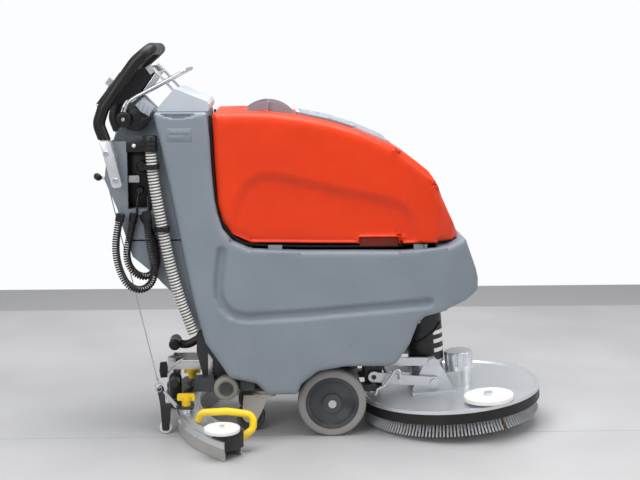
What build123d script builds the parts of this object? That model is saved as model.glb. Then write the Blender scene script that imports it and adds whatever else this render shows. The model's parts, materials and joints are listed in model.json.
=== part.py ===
"""Walk-behind floor scrubber-dryer: +X is forward, +Y is left, +Z is up, millimetres.

The parts are drawn from the main wheels' axle line (x = 0) and moved at the end,
so that the origin is the centre of the box that the machine stands in, on the floor.
"""

import os
from math import asin, cos, degrees, hypot, radians, sin, tan

from build123d import *

ORIGIN_X = 16.6             # from the axle line to the middle of the machine's length

# body and tanks
BODY_HALF = 215.0           # half-width of the solution tank and battery bay
TOWER_HALF = 205.0
HOOD_HALF = 200.0           # half-width of the recovery tank
WALL = 6.0
SEAM_Z = 566.0              # height of the tank's hinge line
TANK_HINGE_Y = 204.0
TANK_HINGE_X = (-50.0, 150.0)
LID_PIVOT = (-181.0, 905.0)
CHEEK_R = 78.0

# wheels
WHEEL_R = 100.0
WHEEL_WIDTH = 40.0
WHEEL_FACE_Y = 175.0
AXLE_R = 10.0
CASTOR_R = 42.0
CASTOR_PIVOT = (-198.0, 97.0)
CASTOR_TRAIL = 32.0
RUN_FIT = 0.05              # radial clearance of a pin in its eye

# scrub deck, drawn level about the brush axis and then tilted
DECK_X, DECK_Z, DECK_TILT = 369.0, 97.0, 4.5
DECK_R = 275.0
SKIRT_H = 33.0
BRUSH_R = 268.0
BRISTLE_DROP = 73.0
MOTOR_U, MOTOR_R = -66.0, 54.0
CAP_U, CAP_R = 34.0, 43.0
ROLLER_R, ROLLER_T = 72.0, 14.0
ROLLER_UV = (86.0, 206.0)
DECK_UPPER = (-57.0, 104.0)     # pivots on the deck, in its own level frame
DECK_LOWER = (-55.0, 40.0)
ARM_UPPER = (130.0, 198.0)      # pivots on the chassis
ARM_LOWER = (130.0, 150.0)
ARM_Y = 66.0                    # inner face of the arms
ARM_T = 10.0
PIN_R = 7.0
SLOT_PLAY = 4.0                 # play of the floating lower pivot

# squeegee: an arc about a point ahead of the axle
ARC_X, ARC_R = 83.0, 543.0
SQUEEGEE_HALF = 385.0
SQUEEGEE_W = 66.0
BLADE_T = 3.5
LIFT_PIVOT = (-262.0, 158.0)
SWIVEL_X = -470.0
KNOB_XY = (-426.0, 150.0)
BUMP_XYZ = (-315.0, 345.0, 82.0)
BUMP_R, BUMP_T = 50.0, 12.0
SUPPORT_XYZ = (-489.0, 120.0, 19.0)
SUPPORT_R = 18.0

# rear controls
HOUSING_HALF = 150.0
HANDLE_Y = 170.0
TUBE_R, GRIP_R = 13.0, 17.0
BAIL_PIVOT = (-589.0, 925.0)
BAIL_Y, BAIL_ROD_R, BAIL_HUB_R = 140.0, 5.0, 24.0
DASH_HALF = 120.0
LEVER_PIVOT = (-560.0, 757.0)
LEVER_Y = 136.0
CABLE_TOP, CABLE_LOW = (-638.0, 752.0), (-508.0, 153.0)
PEDAL_PIVOT, PEDAL_Y = (-384.0, 270.0), 98.0
HOSE_R = 16.0
CURL_R = 11.5                   # outer radius of the curly cords
CURL_OUT_Y, CURL_IN_Y = -188.0, -164.0


def slab(points, y_from, y_to, radius=0):
    """A plate with its outline in X and Z, from one Y to another."""
    corners = [(x, y_from, z) for x, z in points]
    if radius:
        line = FilletPolyline(*corners, radius=radius, close=True)
    else:
        line = Polyline(*corners, close=True)
    return extrude(make_face(line), amount=y_to - y_from, dir=(0, 1, 0))


def plan_slab(points, z_from, z_to, radius=0):
    """A plate with its outline in X and Y, from one Z to another."""
    corners = [(x, y, z_from) for x, y in points]
    if radius:
        line = FilletPolyline(*corners, radius=radius, close=True)
    else:
        line = Polyline(*corners, close=True)
    return extrude(make_face(line), amount=z_to - z_from, dir=(0, 0, 1))


def block(x0, x1, y0, y1, z0, z1):
    return Pos((x0 + x1) / 2, (y0 + y1) / 2, (z0 + z1) / 2) * Box(x1 - x0, y1 - y0, z1 - z0)


def post(x, y, z0, z1, radius):
    """A cylinder standing up."""
    return Pos(x, y, (z0 + z1) / 2) * Cylinder(radius, z1 - z0)


def across(x, z, y0, y1, radius):
    """A cylinder lying across the machine."""
    return Pos(x, (y0 + y1) / 2, z) * Rot(90, 0, 0) * Cylinder(radius, abs(y1 - y0))


def ring_across(x, z, y, width, outer, inner):
    """A ring whose middle plane stands at y."""
    half = width / 2
    return across(x, z, y - half, y + half, outer) - across(x, z, y - half - 1, y + half + 1, inner)


def tube_on(line, radius, bore=0):
    """A round bar or tube along a line."""
    section = Plane(origin=line @ 0, z_dir=line % 0) * Circle(radius)
    bar = sweep(section, path=line)
    if bore:
        hole = Plane(origin=line @ 0, z_dir=line % 0) * Circle(bore)
        bar -= sweep(hole, path=line)
    return bar


def group(*shapes):
    """Separate solids that share one node."""
    return Compound([solid for shape in shapes for solid in shape.solids()])


def both(make):
    """The same piece on the right and on the left."""
    return group(make(-1), make(1))


def write(name, shape):
    export_step(Pos(ORIGIN_X, 0, 0) * shape, f"parts/{name}.step")


# ---------------------------------------------------------------- body and frame

BODY_OUTLINE = [
    (388, 580), (420, 494), (438, 432), (392, 396), (334, 379), (263, 362), (243, 342),
    (221, 283), (178, 219), (34, 219), (-43, 205), (-90, 168), (-102, 138), (-188, 138),
    (-221, 172), (-296, 188), (-365, 290), (-392, 392), (-415, 507), (-436, 621),
    (-456, 734), (-482, 860), (-501, 948), (-352, 948), (-345, 873), (-341, 789),
    (-334, 705), (-326, 663), (-312, 620), (-285, 586), (-235, 563), (-94, 557),
    (189, 555), (331, 562),
]
CORNER_R = {(388, 580): 6, (438, 432): 18, (-102, 138): 8, (-188, 138): 8, (-501, 948): 8,
            (-352, 948): 8, (178, 219): 40, (34, 219): 40, (263, 362): 20, (243, 342): 20,
            (392, 396): 40, (-90, 168): 20, (-43, 205): 30, (-221, 172): 20}


def rounded_outline(points, radii, usual, y):
    """A closed line through the points, with each corner rounded by its own radius."""
    corners = [(x, y, z) for x, z in points]
    sizes = [radii.get(point, usual) for point in points]
    return FilletPolyline(*corners, radius=sizes, close=True)


def body_block(half):
    face = make_face(rounded_outline(BODY_OUTLINE, CORNER_R, 24, -half))
    return extrude(face, amount=2 * half, dir=(0, 1, 0))


def body_shell():
    """Solution tank and battery bay in one moulding, open where the recovery tank sits."""
    plan = plan_slab([(-520, -TOWER_HALF), (-330, -TOWER_HALF), (-290, -BODY_HALF),
                      (250, -BODY_HALF), (330, -190), (430, -120), (446, 0), (430, 120),
                      (330, 190), (250, BODY_HALF), (-290, BODY_HALF), (-330, TOWER_HALF),
                      (-520, TOWER_HALF)], 100, 1000, 30)
    outer = body_block(BODY_HALF + 5) & plan
    inner_face = offset(make_face(rounded_outline(BODY_OUTLINE, CORNER_R, 24, 0)), -WALL)
    inner = extrude(inner_face, amount=BODY_HALF - WALL, dir=(0, 1, 0), both=True)
    half = TOWER_HALF - WALL
    inner_plan = plan_slab([(-520, -half), (250, -half), (325, -182), (422, -114), (436, 0),
                            (422, 114), (325, 182), (250, half), (-520, half)], 100, 1000, 28)
    recess = block(200, 450, -66, 66, 268, 362)
    recess_walls = block(200 - WALL, 450, -66 - WALL, 66 + WALL, 268 - WALL, 362 + WALL)
    bay_mouth = block(-230, 300, -180, 180, 540, 600)
    shell = outer - recess - ((inner & inner_plan) - recess_walls) - bay_mouth
    for side in (-1, 1):
        for x in (-164, 250):
            shell += block(x - 20, x + 20, side * 196 - 6, side * 196 + 6, 555, 572.5)
    return shell


def chassis_frame():
    """Welded steel frame: rails, axle hangers, castor plate, deck and squeegee pivots."""
    rails = [block(-130, 136, side * 77 - 17, side * 77 + 17, 112, 132) for side in (-1, 1)]
    frame = rails[0] + rails[1]
    frame += block(-244, -120, -134, 134, 128, 136)
    frame += block(-60, -30, -94, 94, 112, 132)
    frame += block(60, 90, -94, 94, 112, 132)
    for side in (-1, 1):
        frame += slab([(-34, 134), (-34, 84), (34, 84), (34, 134)],
                      side * 104 - 5, side * 104 + 5, 8)
        frame += block(-34, 34, side * 92 - 8, side * 92 + 8, 122, 132)
        cheek = slab([(104, 114), (104, 190), (116, 213), (144, 213), (156, 190), (156, 114)],
                     side * 55 - 5, side * 55 + 5, 8)
        frame += cheek + block(104, 156, side * 63 - 8, side * 63 + 8, 114, 124)
        for x, z in (ARM_UPPER, ARM_LOWER):
            frame += across(x, z, side * 52, side * 79, PIN_R)
        lug = slab([(-242, 130), (-242, 168), (-282, 176), (-300, 128), (-270, 108)],
                   side * 42 - 4, side * 42 + 4, 6)
        frame += lug + across(*LIFT_PIVOT, side * 38, side * 62, PIN_R)
    frame += block(-298, -232, -44, 44, 128, 134)
    for side in (-1, 1):
        frame -= post(CASTOR_PIVOT[0], side * CASTOR_PIVOT[1], 120, 140, 8 + RUN_FIT)
    frame -= across(0, WHEEL_R, -130, 130, AXLE_R)
    for side in (-1, 1):
        frame += rear_plate(side)
    return frame


def rear_plate(side):
    """Upright plate behind the castors, with the flange that bolts under the body."""
    plate = slab([(-236, 130), (-300, 120), (-372, 124), (-398, 236), (-396, 292),
                  (-372, 296), (-350, 254), (-316, 204), (-290, 178), (-240, 166)],
                 side * 73 - 3, side * 73 + 3, 4)
    return plate + block(-296, -236, side * 66 - 26, side * 66 + 8, 128, 134)


def tower_cowl():
    """Pale wedge on top of the tower, with a rounded nose above the tank's back edge."""
    return slab([(-498, 949), (-468, 984), (-441, 1013), (-353, 978), (-346, 968), (-347, 949)],
                -178, 178, 6)


# ---------------------------------------------------------------- rear housing

HOUSING = [(-632, 863), (-645, 756), (-611, 673), (-602, 635), (-571, 535), (-510, 483),
           (-489, 458), (-453, 423), (-443, 393), (-429, 348), (-419, 318), (-377, 318),
           (-396, 392), (-419, 507), (-440, 621), (-460, 734), (-486, 863)]
SPLIT_Z = 580.0


def housing_block():
    solid = slab(HOUSING, -HOUSING_HALF, HOUSING_HALF, 5)
    inner = offset(make_face(Polyline(*[(x, 0, z) for x, z in HOUSING], close=True)), -5)
    return solid - extrude(inner, amount=HOUSING_HALF - 5, dir=(0, 1, 0), both=True)


def rear_upper_cover():
    """Cover of the handle column, with a cable recess and the lever's slot."""
    cover = housing_block() & block(-700, -300, -160, 160, SPLIT_Z + 4, 900)
    cover += block(-588, -514, -149, -108, 664, 844)
    cover -= block(-580, -522, -160, -112, 672, 836)
    cover -= block(-660, -570, -147, -118, 655, 836)
    cover -= block(-660, -588, -134, -122, 596, 656)
    return group(cover, column_neck())


def rear_lower_cover():
    return housing_block() & block(-700, -300, -160, 160, 300, SPLIT_Z)


def bracket_plate(side):
    outline = [(-652, 866), (-619, 868), (-594, 758), (-603, 748), (-618, 756)]
    return slab(outline, side * 153 - 3, side * 153 + 3, 5)


def fasteners():
    heads = []
    for side in (-1, 1):
        for x, z in ((-611, 787), (-607, 766)):
            heads.append(across(x, z, side * 156, side * 161, 6))
        for x in (-120, 46, 120):
            heads.append(post(x, side * 77, 106, 112, 8))
    return group(*heads, lever_pin(), pedal_pin())


HANDLE_LINE = [(-621, 800), (-638, 868), (-655, 915), (-640, 958), (-596, 1022), (-549, 1086),
               (-507, 1122)]


def handle_route():
    right = [(x, -HANDLE_Y, z) for x, z in HANDLE_LINE]
    left = [(x, HANDLE_Y, z) for x, z in reversed(HANDLE_LINE)]
    radii = [60, 40, 40, 90, 90, 34, 34, 90, 90, 40, 40, 60]
    return FilletPolyline(*right, *left, radius=radii)


def handle_tube():
    """One bent steel tube, flattened onto the brackets by two welded pads."""
    tube = tube_on(handle_route(), TUBE_R, TUBE_R - 2.5)
    for side in (-1, 1):
        tube += block(-636, -606, side * 158.5 - 2.5, side * 158.5 + 2.5, 802, 830)
    return tube + bracket_plate(-1) + bracket_plate(1)


def handle_grip():
    """Black sleeve drawn over the tube's whole bent length."""
    sleeve = tube_on(handle_route(), GRIP_R, TUBE_R)
    return sleeve & block(-700, -450, -220, 220, 871, 1200)


# ---------------------------------------------------------------- dash and bail

def dash_housing():
    dash = slab([(-501, 1055), (-515, 1074), (-573, 1058), (-594, 1053), (-666, 960),
                 (-656, 951), (-606, 968), (-548, 994)], -DASH_HALF, DASH_HALF, 3)
    return dash - control_bores()


def panel_frame():
    """Plane of the control panel, its Y along the slope and its Z out towards the operator."""
    low, high = Vector(-663, 0, 965), Vector(-596, 0, 1052)
    middle = (low + high) / 2
    return Plane(origin=middle, x_dir=(0, -1, 0), z_dir=Vector(-(high - low).Z, 0, (high - low).X))


SWITCH_AT = {"brush": (-62.0, 38.0), "vacuum": (-22.0, -10.0)}     # across, up the slope


def control_bores():
    frame = panel_frame()
    bores = [frame * Pos(y, up, -4) * Box(24.6, 30.6, 40) for y, up in SWITCH_AT.values()]
    bores.append(frame * Pos(40, 10, -4) * Cylinder(9.05, 40))
    return bores[0] + bores[1] + bores[2]


def dash_panel():
    frame = panel_frame()
    sheet = frame * Pos(0, 0, 4.5) * Box(2 * DASH_HALF - 16, 112, 2)
    sheet += frame * Pos(0, 0, 3) * Box(2 * DASH_HALF - 30, 104, 2)
    gauge = frame * Pos(84, 10, 6) * Cylinder(17, 4)
    return sheet + gauge - control_bores()


def rocker(y, up):
    """Rocker switch that tips about a pin below its middle."""
    frame = panel_frame()
    cap = frame * Pos(y, up, 5) * (Rot(0, 90, 0) * Cylinder(13, 24))
    keep = frame * Pos(y, up, 10.5) * Box(24, 26, 9)
    return (cap & keep) + frame * Pos(y, up, 0.5) * Box(20, 12, 12)


def key_switch():
    frame = panel_frame()
    barrel = frame * Pos(40, 10, -1) * Cylinder(9, 16)
    bow = frame * Pos(40, 10, 16) * Box(4, 22, 20)
    return barrel + bow


def dash_struts():
    """Aluminium back plate of the dash, two blocks and the struts down to the cowl."""
    plate = slab([(-492, 1056), (-538, 991), (-541.5, 993), (-495.5, 1058)], -128, 128)
    for side in (-1, 1):
        y = side * 96
        plate += slab([(-496, 1050), (-480, 1058), (-456, 1018), (-478, 1010)], y - 16, y + 16, 4)
        line = Line((-486, y, 1048), (-455, y, 996))
        plate += tube_on(line, 8)
    return plate - slab([(-498, 948), (-468, 985), (-441, 1014), (-352, 948)], -178, 178, 6)


def column_neck():
    """Cast neck between the housing's top and the dash, behind the cowl."""
    return slab([(-627, 863), (-494, 863), (-506, 944), (-547, 986), (-596, 956), (-606, 900)],
                -89, 89, 6)


def switch_housings():
    def side_box(side):
        outline = [(-592, 962), (-562, 972), (-513, 934), (-511, 902), (-545, 892), (-602, 905)]
        box = slab(outline, side * 126 - 5, side * 126 + 5, 7)
        box += slab([(-600, 950), (-552, 984), (-515, 934), (-515, 900), (-600, 905)],
                    side * 106 - 16, side * 106 + 16, 7)
        return box + across(*BAIL_PIVOT, side * 112, side * 150, 5)
    return group(side_box(-1), side_box(1))


def bail():
    """Operator's bail: a steel rod on two hubs, squeezed up to the handle's bar."""
    hub_x, hub_z = BAIL_PIVOT
    line = [(hub_x + 6, hub_z + 22), (-577, 972), (-556, 988), (-410, 1065)]
    right = [(x, -BAIL_Y, z) for x, z in line]
    left = [(x, BAIL_Y, z) for x, z in reversed(line)]
    route = FilletPolyline(*right, *left, radius=[14, 14, 24, 24, 14, 14])
    rod = tube_on(route, BAIL_ROD_R)
    for side in (-1, 1):
        rod += across(hub_x, hub_z, side * 132, side * 148, BAIL_HUB_R)
        rod -= across(hub_x, hub_z, side * 100, side * 160, 5 + RUN_FIT)
    return rod


# ---------------------------------------------------------------- hoses, cords and lever

HOSE_LINE = [(-511, 866), (-508, 791), (-496, 707), (-482, 623), (-464, 524), (-438, 423),
             (-412, 352), (-400, 318)]
HOSE_Y = -186.0


def corner_radii(points):
    """Arc radii that fill the corners of a hand-laid route: 0.45 of the shorter run."""
    radii = []
    for before, here, after in zip(points, points[1:], points[2:]):
        run_in, run_out = Vector(*here) - Vector(*before), Vector(*after) - Vector(*here)
        turn = run_in.get_angle(run_out)
        shorter = min(run_in.length, run_out.length)
        radii.append(0.45 * shorter / tan(radians(turn / 2)))
    return radii


def drain_hose():
    """Drain hose clipped down the back corner, with its black cuff and end plug."""
    points = [(x, HOSE_Y, z) for x, z in HOSE_LINE]
    line = FilletPolyline(*points, radius=[min(r, 400) for r in corner_radii(points)])
    hose = tube_on(line, HOSE_R)
    return hose + post(HOSE_LINE[0][0], HOSE_Y, 850, 884, 21)


def hose_clips():
    """Clips that hold the drain hose to the rear housing."""
    clips = []
    for x, z in ((-508, 796), (-482, 620)):
        ring = post(x, HOSE_Y, z - 7, z + 7, HOSE_R + 6) - post(x, HOSE_Y, z - 8, z + 8, HOSE_R + 2.5)
        arm = block(x - 8, x + 8, HOSE_Y + HOSE_R + 4, -150, z - 7, z + 7)
        clips.append(ring + arm)
    cuff_arm = block(-526, -496, HOSE_Y + 18, -150, 852, 862)
    clips.append(cuff_arm - post(HOSE_LINE[0][0], HOSE_Y, 840, 890, 21))
    return clips


CURL_OUTER = [(-524, 648), (-521, 600), (-514, 552), (-504, 505), (-513, 464), (-546, 442),
              (-583, 458), (-604, 500), (-614, 548), (-612, 598), (-602, 642)]
CURL_INNER = [(-567, 640), (-576, 595), (-587, 552), (-582, 512), (-558, 483), (-526, 478),
              (-504, 500), (-501, 540), (-510, 588), (-530, 640)]


def curl_tube(route, y):
    points = [(x, y, z) for x, z in route]
    radii = corner_radii(points)
    return tube_on(FilletPolyline(*points, radius=radii), CURL_R)


def clips_and_glands():
    """Cord glands on the housing's right side, one at each cord end, and the hose clips."""
    ends = [(CURL_OUTER[0], CURL_OUTER[1], CURL_OUT_Y), (CURL_OUTER[-1], CURL_OUTER[-2], CURL_OUT_Y),
            (CURL_INNER[0], CURL_INNER[1], CURL_IN_Y), (CURL_INNER[-1], CURL_INNER[-2], CURL_IN_Y)]
    glands = []
    for (x, z), (x_next, z_next), y in ends:
        away = Vector(x - x_next, 0, z - z_next).normalized()
        gland = Plane(origin=(x, y, z), z_dir=away) * Pos(0, 0, 11) * Cylinder(CURL_R + 1, 22)
        top = Vector(x, y, z) + away * 14
        arm = block(top.X - 6, top.X + 6, y + 6, -150, top.Z - 5, top.Z + 5)
        glands.append(gland + arm)
    return group(*glands, *hose_clips())


def lift_lever():
    """Squeegee lever: a flat bar on a pin in the recess, with a ball knob."""
    px, pz = LEVER_PIVOT
    bar = slab([(px + 12, pz - 10), (px + 12, pz + 10), (-632, 764), (-640, 757), (-632, 748)],
               -LEVER_Y - 4, -LEVER_Y + 4, 4)
    rod = tube_on(Line((-632, -LEVER_Y, 757), (-660, -LEVER_Y, 762)), 4)
    ball = Pos(-666, -LEVER_Y, 763) * Rot(0, 0, 90) * Sphere(10.5)
    return bar + rod + ball - across(px, pz, -160, -100, 6 + RUN_FIT)


def lever_pin():
    px, pz = LEVER_PIVOT
    return across(px, pz, -146, -112, 6)


def lift_cable():
    """Steel cable from the lever down to the squeegee, with a ferrule at each end."""
    top = Vector(CABLE_TOP[0] - 3, -LEVER_Y + 8, CABLE_TOP[1])
    low = Vector(CABLE_LOW[0], -LEVER_Y + 8, CABLE_LOW[1])
    along = (low - top).normalized()
    cable = tube_on(Line(top, low), 1.5)
    cable += tube_on(Line(top, top + along * 16), 3)
    return cable + tube_on(Line(low - along * 20, low), 3)


def foot_pedal():
    """Deck pedal: a black lever with a rounded foot pad."""
    px, pz = PEDAL_PIVOT
    points = [(px, PEDAL_Y, pz), (-398, PEDAL_Y, 234), (-436, PEDAL_Y, 212), (-472, PEDAL_Y, 219)]
    arm = tube_on(FilletPolyline(*points, radius=[30, 46]), 13)
    pad = fillet(across(-474, 220, PEDAL_Y - 34, PEDAL_Y + 44, 18).edges(), 7)
    hub = across(px, pz, PEDAL_Y - 12, PEDAL_Y + 12, 15)
    return arm + pad + hub - across(px, pz, 60, 130, PIN_R + RUN_FIT)


def pedal_pin():
    return across(*PEDAL_PIVOT, 76, PEDAL_Y + 16, PIN_R)


# ---------------------------------------------------------------- wheels and castors

def wheel_rim(side):
    face, back = side * WHEEL_FACE_Y, side * (WHEEL_FACE_Y - WHEEL_WIDTH)
    middle = (face + back) / 2
    rim = across(0, WHEEL_R, face - side * 3, back + side * 3, 78)
    dish = across(0, WHEEL_R, face + side, face - side * 9, 66)
    hub = across(0, WHEEL_R, face + side * 1, middle, 28)
    rim = rim - dish + hub
    return rim - across(0, WHEEL_R, face + side * 5, back - side * 5, AXLE_R + RUN_FIT)


def wheel_tyre(side):
    """Solid rubber tyre with rounded shoulders."""
    middle = side * (WHEEL_FACE_Y - WHEEL_WIDTH / 2)
    tyre = across(0, WHEEL_R, middle - WHEEL_WIDTH / 2, middle + WHEEL_WIDTH / 2, WHEEL_R)
    tyre = fillet(tyre.edges(), 9)
    return tyre - across(0, WHEEL_R, middle - 30, middle + 30, 78)


def main_axle():
    axle = across(0, WHEEL_R, -176.5, 176.5, AXLE_R)
    for side in (-1, 1):
        axle += across(0, WHEEL_R, side * 176.5, side * 182, 12)
    return axle


def castor_fork(side):
    """Swivel head, two slanted legs and the wheel's axle."""
    px, y = CASTOR_PIVOT[0], side * CASTOR_PIVOT[1]
    wx = px - CASTOR_TRAIL
    head = post(px, y, 116, 127.5, 30) + post(px, y, 108, 116.5, 36)
    legs = []
    for edge in (-1, 1):
        leg_y = y + edge * 21
        legs.append(slab([(px - 62, 112), (px - 66, 44), (px - 52, 28), (px - 24, 30),
                          (px - 8, 60), (px + 14, 112)], leg_y - 2, leg_y + 2, 10))
    crown = block(px - 62, px + 12, y - 23, y + 23, 104, 112)
    axle = across(wx - 8, CASTOR_R, y - 26, y + 26, 6)
    head += post(px, y, 126, 137, 8)
    return head + crown + legs[0] + legs[1] + axle


def castor_wheel(side):
    y = side * CASTOR_PIVOT[1]
    wx = CASTOR_PIVOT[0] - CASTOR_TRAIL - 8
    wheel = fillet(across(wx, CASTOR_R, y - 15, y + 15, CASTOR_R).edges(), 6)
    for edge in (-1, 1):
        groove = ring_across(wx, CASTOR_R, y + edge * 14, 4, 30, 12)
        wheel -= groove
    return wheel - across(wx, CASTOR_R, y - 30, y + 30, 6 + RUN_FIT)


# ---------------------------------------------------------------- recovery tank

HOOD_OUTLINE = [
    (-338, 946), (-259, 948), (-176, 945), (-93, 935), (-9, 918), (75, 892), (171, 850),
    (230, 813), (273, 779), (296, 745), (317, 700), (347, 637), (374, 584), (368, 575),
    (250, 573), (77, 575), (-235, 579), (-285, 602), (-312, 641), (-325, 689), (-333, 816),
]
HOOD_CORNERS = {(-338, 946): 14, (374, 584): 5, (368, 575): 4}


def hood_plan(inset, radius):
    half = HOOD_HALF - inset
    return plan_slab([(-360, -half), (190, -half), (300, -half + 20), (352, -half + 80),
                      (378 - inset, -60), (378 - inset, 60), (352, half - 80),
                      (300, half - 20), (190, half), (-360, half)], 500, 1000, radius)


def recovery_tank():
    """Hollow tank with its mouth under the lid, and two slots for the lid's cheeks."""
    outline = rounded_outline(HOOD_OUTLINE, HOOD_CORNERS, 20, 0)
    outer = extrude(make_face(outline), amount=220, dir=(0, 1, 0), both=True)
    hollow = extrude(offset(make_face(outline), -5), amount=220, dir=(0, 1, 0), both=True)
    tank = (outer & hood_plan(0, 24)) - (hollow & hood_plan(5, 20))
    for side in (-1, 1):
        pocket = slab([(-270, 880), (-270, 944), (-100, 932), (-64, 924), (-64, 880)],
                      side * 83 - 12, side * 83 + 12)
        tank += pocket - block(-265, -50, side * 83 - 9, side * 83 + 9, 886, 1000)
        tank -= block(-265, -66, side * 83 - 9, side * 83 + 9, 886, 1000)
    tank -= plan_slab([(-98, -80), (60, -80), (150, -58), (150, 58), (60, 80), (-98, 80)],
                      780, 1000, 12)
    tank += block(70, 194, -HOOD_HALF, -HOOD_HALF + 32, 574, 598)
    tank -= block(76, 188, -HOOD_HALF - 1, -HOOD_HALF + 26, 560, 592)
    for x in TANK_HINGE_X:
        tank += block(x - 20, x + 20, 196, 211, SEAM_Z, 612) + x_rod(x - 20, x + 20, 8)
        tank -= x_rod(x - 30, x + 30, 4 + RUN_FIT)
    for side in (-1, 1):
        tank -= post(-270, side * 120, 930, 960, 6)
    return tank


def x_rod(x0, x1, radius):
    """A rod along the tank's hinge line."""
    return Pos((x0 + x1) / 2, TANK_HINGE_Y, SEAM_Z) * Rot(0, 90, 0) * Cylinder(radius, x1 - x0)


def tank_hinge():
    """Two hinge pins in brackets on the left rim of the body."""
    hinge = []
    for x in TANK_HINGE_X:
        piece = x_rod(x - 32, x + 32, 4)
        for edge in (-1, 1):
            y = TANK_HINGE_Y
            centre = x + edge * 27
            piece += block(centre - 5, centre + 5, y - 6, y + 6, 557.2, 570)
        hinge.append(piece)
    return group(*hinge)


LID_LINE = [(-101, 936), (-9, 918), (75, 892), (171, 850)]
LID_T = 7.0


def lid_plate():
    """The lid's plate, lying on the tank's sloping top."""
    lower = [(x, z + 0.6) for x, z in LID_LINE]
    upper = [(x, z + 0.6 + LID_T) for x, z in reversed(LID_LINE)]
    plan = plan_slab([(-101, -96), (60, -96), (171, -72), (171, 72), (60, 96), (-101, 96)],
                     700, 1100, 8)
    return slab(lower + upper, -120, 120) & plan


def tank_lid():
    """Ribbed lid with a cheek plate on each side that turns about the pivot."""
    lid = lid_plate()
    for index in range(9):
        y = -56 + 14 * index
        rib = slab([(-88, 936), (-88, 946), (-9, 930), (75, 904), (156, 869), (156, 860)],
                   y - 3, y + 3)
        lid += rib
    px, pz = LID_PIVOT
    for side in (-1, 1):
        y = side * 83
        disc = across(px, pz, y - 6, y + 6, CHEEK_R)
        quarter = disc & block(px, px + 90, -120, 120, pz, pz + 90)
        arm = slab([(-130, 916), (-130, 938), (-101, 941), (-70, 934), (-90, 912)], y - 6, y + 6)
        lid += quarter + arm + across(px, pz, y - 6, y + 6, 16)
        lid -= across(px, pz, y - 10, y + 10, 6 + RUN_FIT)
    return lid


def lid_cheeks():
    """Fixed quarter plates behind the lid's cheeks, each with its pivot pin."""
    px, pz = LID_PIVOT
    def cheek(side):
        inner, outer = side * 93, side * 103
        disc = across(px, pz, inner, outer, CHEEK_R)
        quarter = disc & block(px - 90, px - 0.8, -120, 120, 950, 1000)
        return quarter + across(px, pz, side * 76, side * 92, 6)
    return both(cheek)


# ---------------------------------------------------------------- inside

def batteries():
    def case(side):
        y = side * 88
        box = block(-312, 18, y - 84, y + 84, 248, 482)
        for x in (-280, -14):
            box += post(x, y, 482, 498, 11)
        return box
    return both(case)


def filter_unit():
    """Solution filter with its black connector housing under the body."""
    body = across(-308, 150, -150, -112, 26)
    body += block(-268, -226, -160, -136, 138, 166)
    body += across(-262, 152, -150, -112, 14)
    valve = block(-404, -346, -118, -80, 124, 166) + block(-350, -306, -118, -100, 140, 158)
    return body + valve


def filter_cap():
    """Knurled screw cap of the filter, facing right."""
    cap = across(-308, 150, -178, -151, 36)
    step = across(-308, 150, -184, -170, 25)
    for index in range(20):
        angle = radians(index * 18)
        cap -= across(-308 + 37 * cos(angle), 150 + 37 * sin(angle), -179, -150, 3)
    return cap + step


# ---------------------------------------------------------------- squeegee

def arc_wall(radius, thick, z0, z1, half_angle):
    """An upright curved wall about the arc's centre, behind the machine."""
    ring = post(ARC_X, 0, z0, z1, radius + thick) - post(ARC_X, 0, z0 - 1, z1 + 1, radius)
    reach = 900
    wedge = plan_slab([(ARC_X, 0), (ARC_X - reach, -reach * tan(radians(half_angle))),
                       (ARC_X - reach, reach * tan(radians(half_angle)))], z0 - 2, z1 + 2)
    return ring & wedge


HALF_ANGLE = degrees(asin(SQUEEGEE_HALF / (ARC_R + 8)))


def squeegee_body():
    """Cast channel of the squeegee, with bosses for the knobs."""
    inner = ARC_R - SQUEEGEE_W
    body = arc_wall(inner, SQUEEGEE_W, 60, 72, HALF_ANGLE)
    body += arc_wall(ARC_R - 6, 6, 30, 74, HALF_ANGLE)
    body += arc_wall(inner, 6, 30, 74, HALF_ANGLE)
    body += (arc_wall(inner + 1, SQUEEGEE_W - 2, 30, 72, HALF_ANGLE)
             - arc_wall(inner, SQUEEGEE_W, 20, 80, HALF_ANGLE - 0.9))
    for side in (-1, 1):
        body += post(KNOB_XY[0], side * KNOB_XY[1], 70, 86, 15)
        body += post(KNOB_XY[0], side * KNOB_XY[1], 84, 100, 6)
        body += block(-352, -322, side * 332 - 12, side * 332 + 12, 66, 74)
        body += post(BUMP_XYZ[0], side * BUMP_XYZ[1], 62, 93, 7)
    body += post(-463, -60, 70, 92, 24)
    return group(body, blade_straps())


def squeegee_blades():
    """Front and rear rubber blades, clear of the floor by a hair at rest."""
    rear = arc_wall(ARC_R, BLADE_T, 1, 56, HALF_ANGLE)
    front = arc_wall(ARC_R - SQUEEGEE_W - BLADE_T, BLADE_T, 1, 52, HALF_ANGLE - 1)
    return group(rear, front)


def blade_straps():
    """Steel strap that clamps the rear blade, with its thumb latches."""
    strap = arc_wall(ARC_R + BLADE_T, 2.5, 36, 54, HALF_ANGLE)
    for angle in (-30, -15, 0, 15, 30):
        spot = Pos(ARC_X, 0, 45) * Rot(0, 0, angle) * Pos(-(ARC_R + BLADE_T + 4), 0, 0)
        strap += spot * Box(6, 18, 12)
    return strap


def squeegee_arm():
    """Lift arm: two bent bars, a cross tube and the upright swivel pin."""
    px, pz = LIFT_PIVOT
    arm = across(SWIVEL_X, 187, -58, 58, 12)
    for side in (-1, 1):
        bar = slab([(px + 13, pz - 11), (px + 13, pz + 11), (-385, 198), (-478, 198),
                    (-478, 176), (-388, 176)], side * 54 - 4, side * 54 + 4, 6)
        arm += bar - across(px, pz, side * 40, side * 70, PIN_R + RUN_FIT)
    return arm + post(SWIVEL_X, 0, 132, 200, 20) + post(SWIVEL_X, 0, 96, 140, 8)


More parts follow.
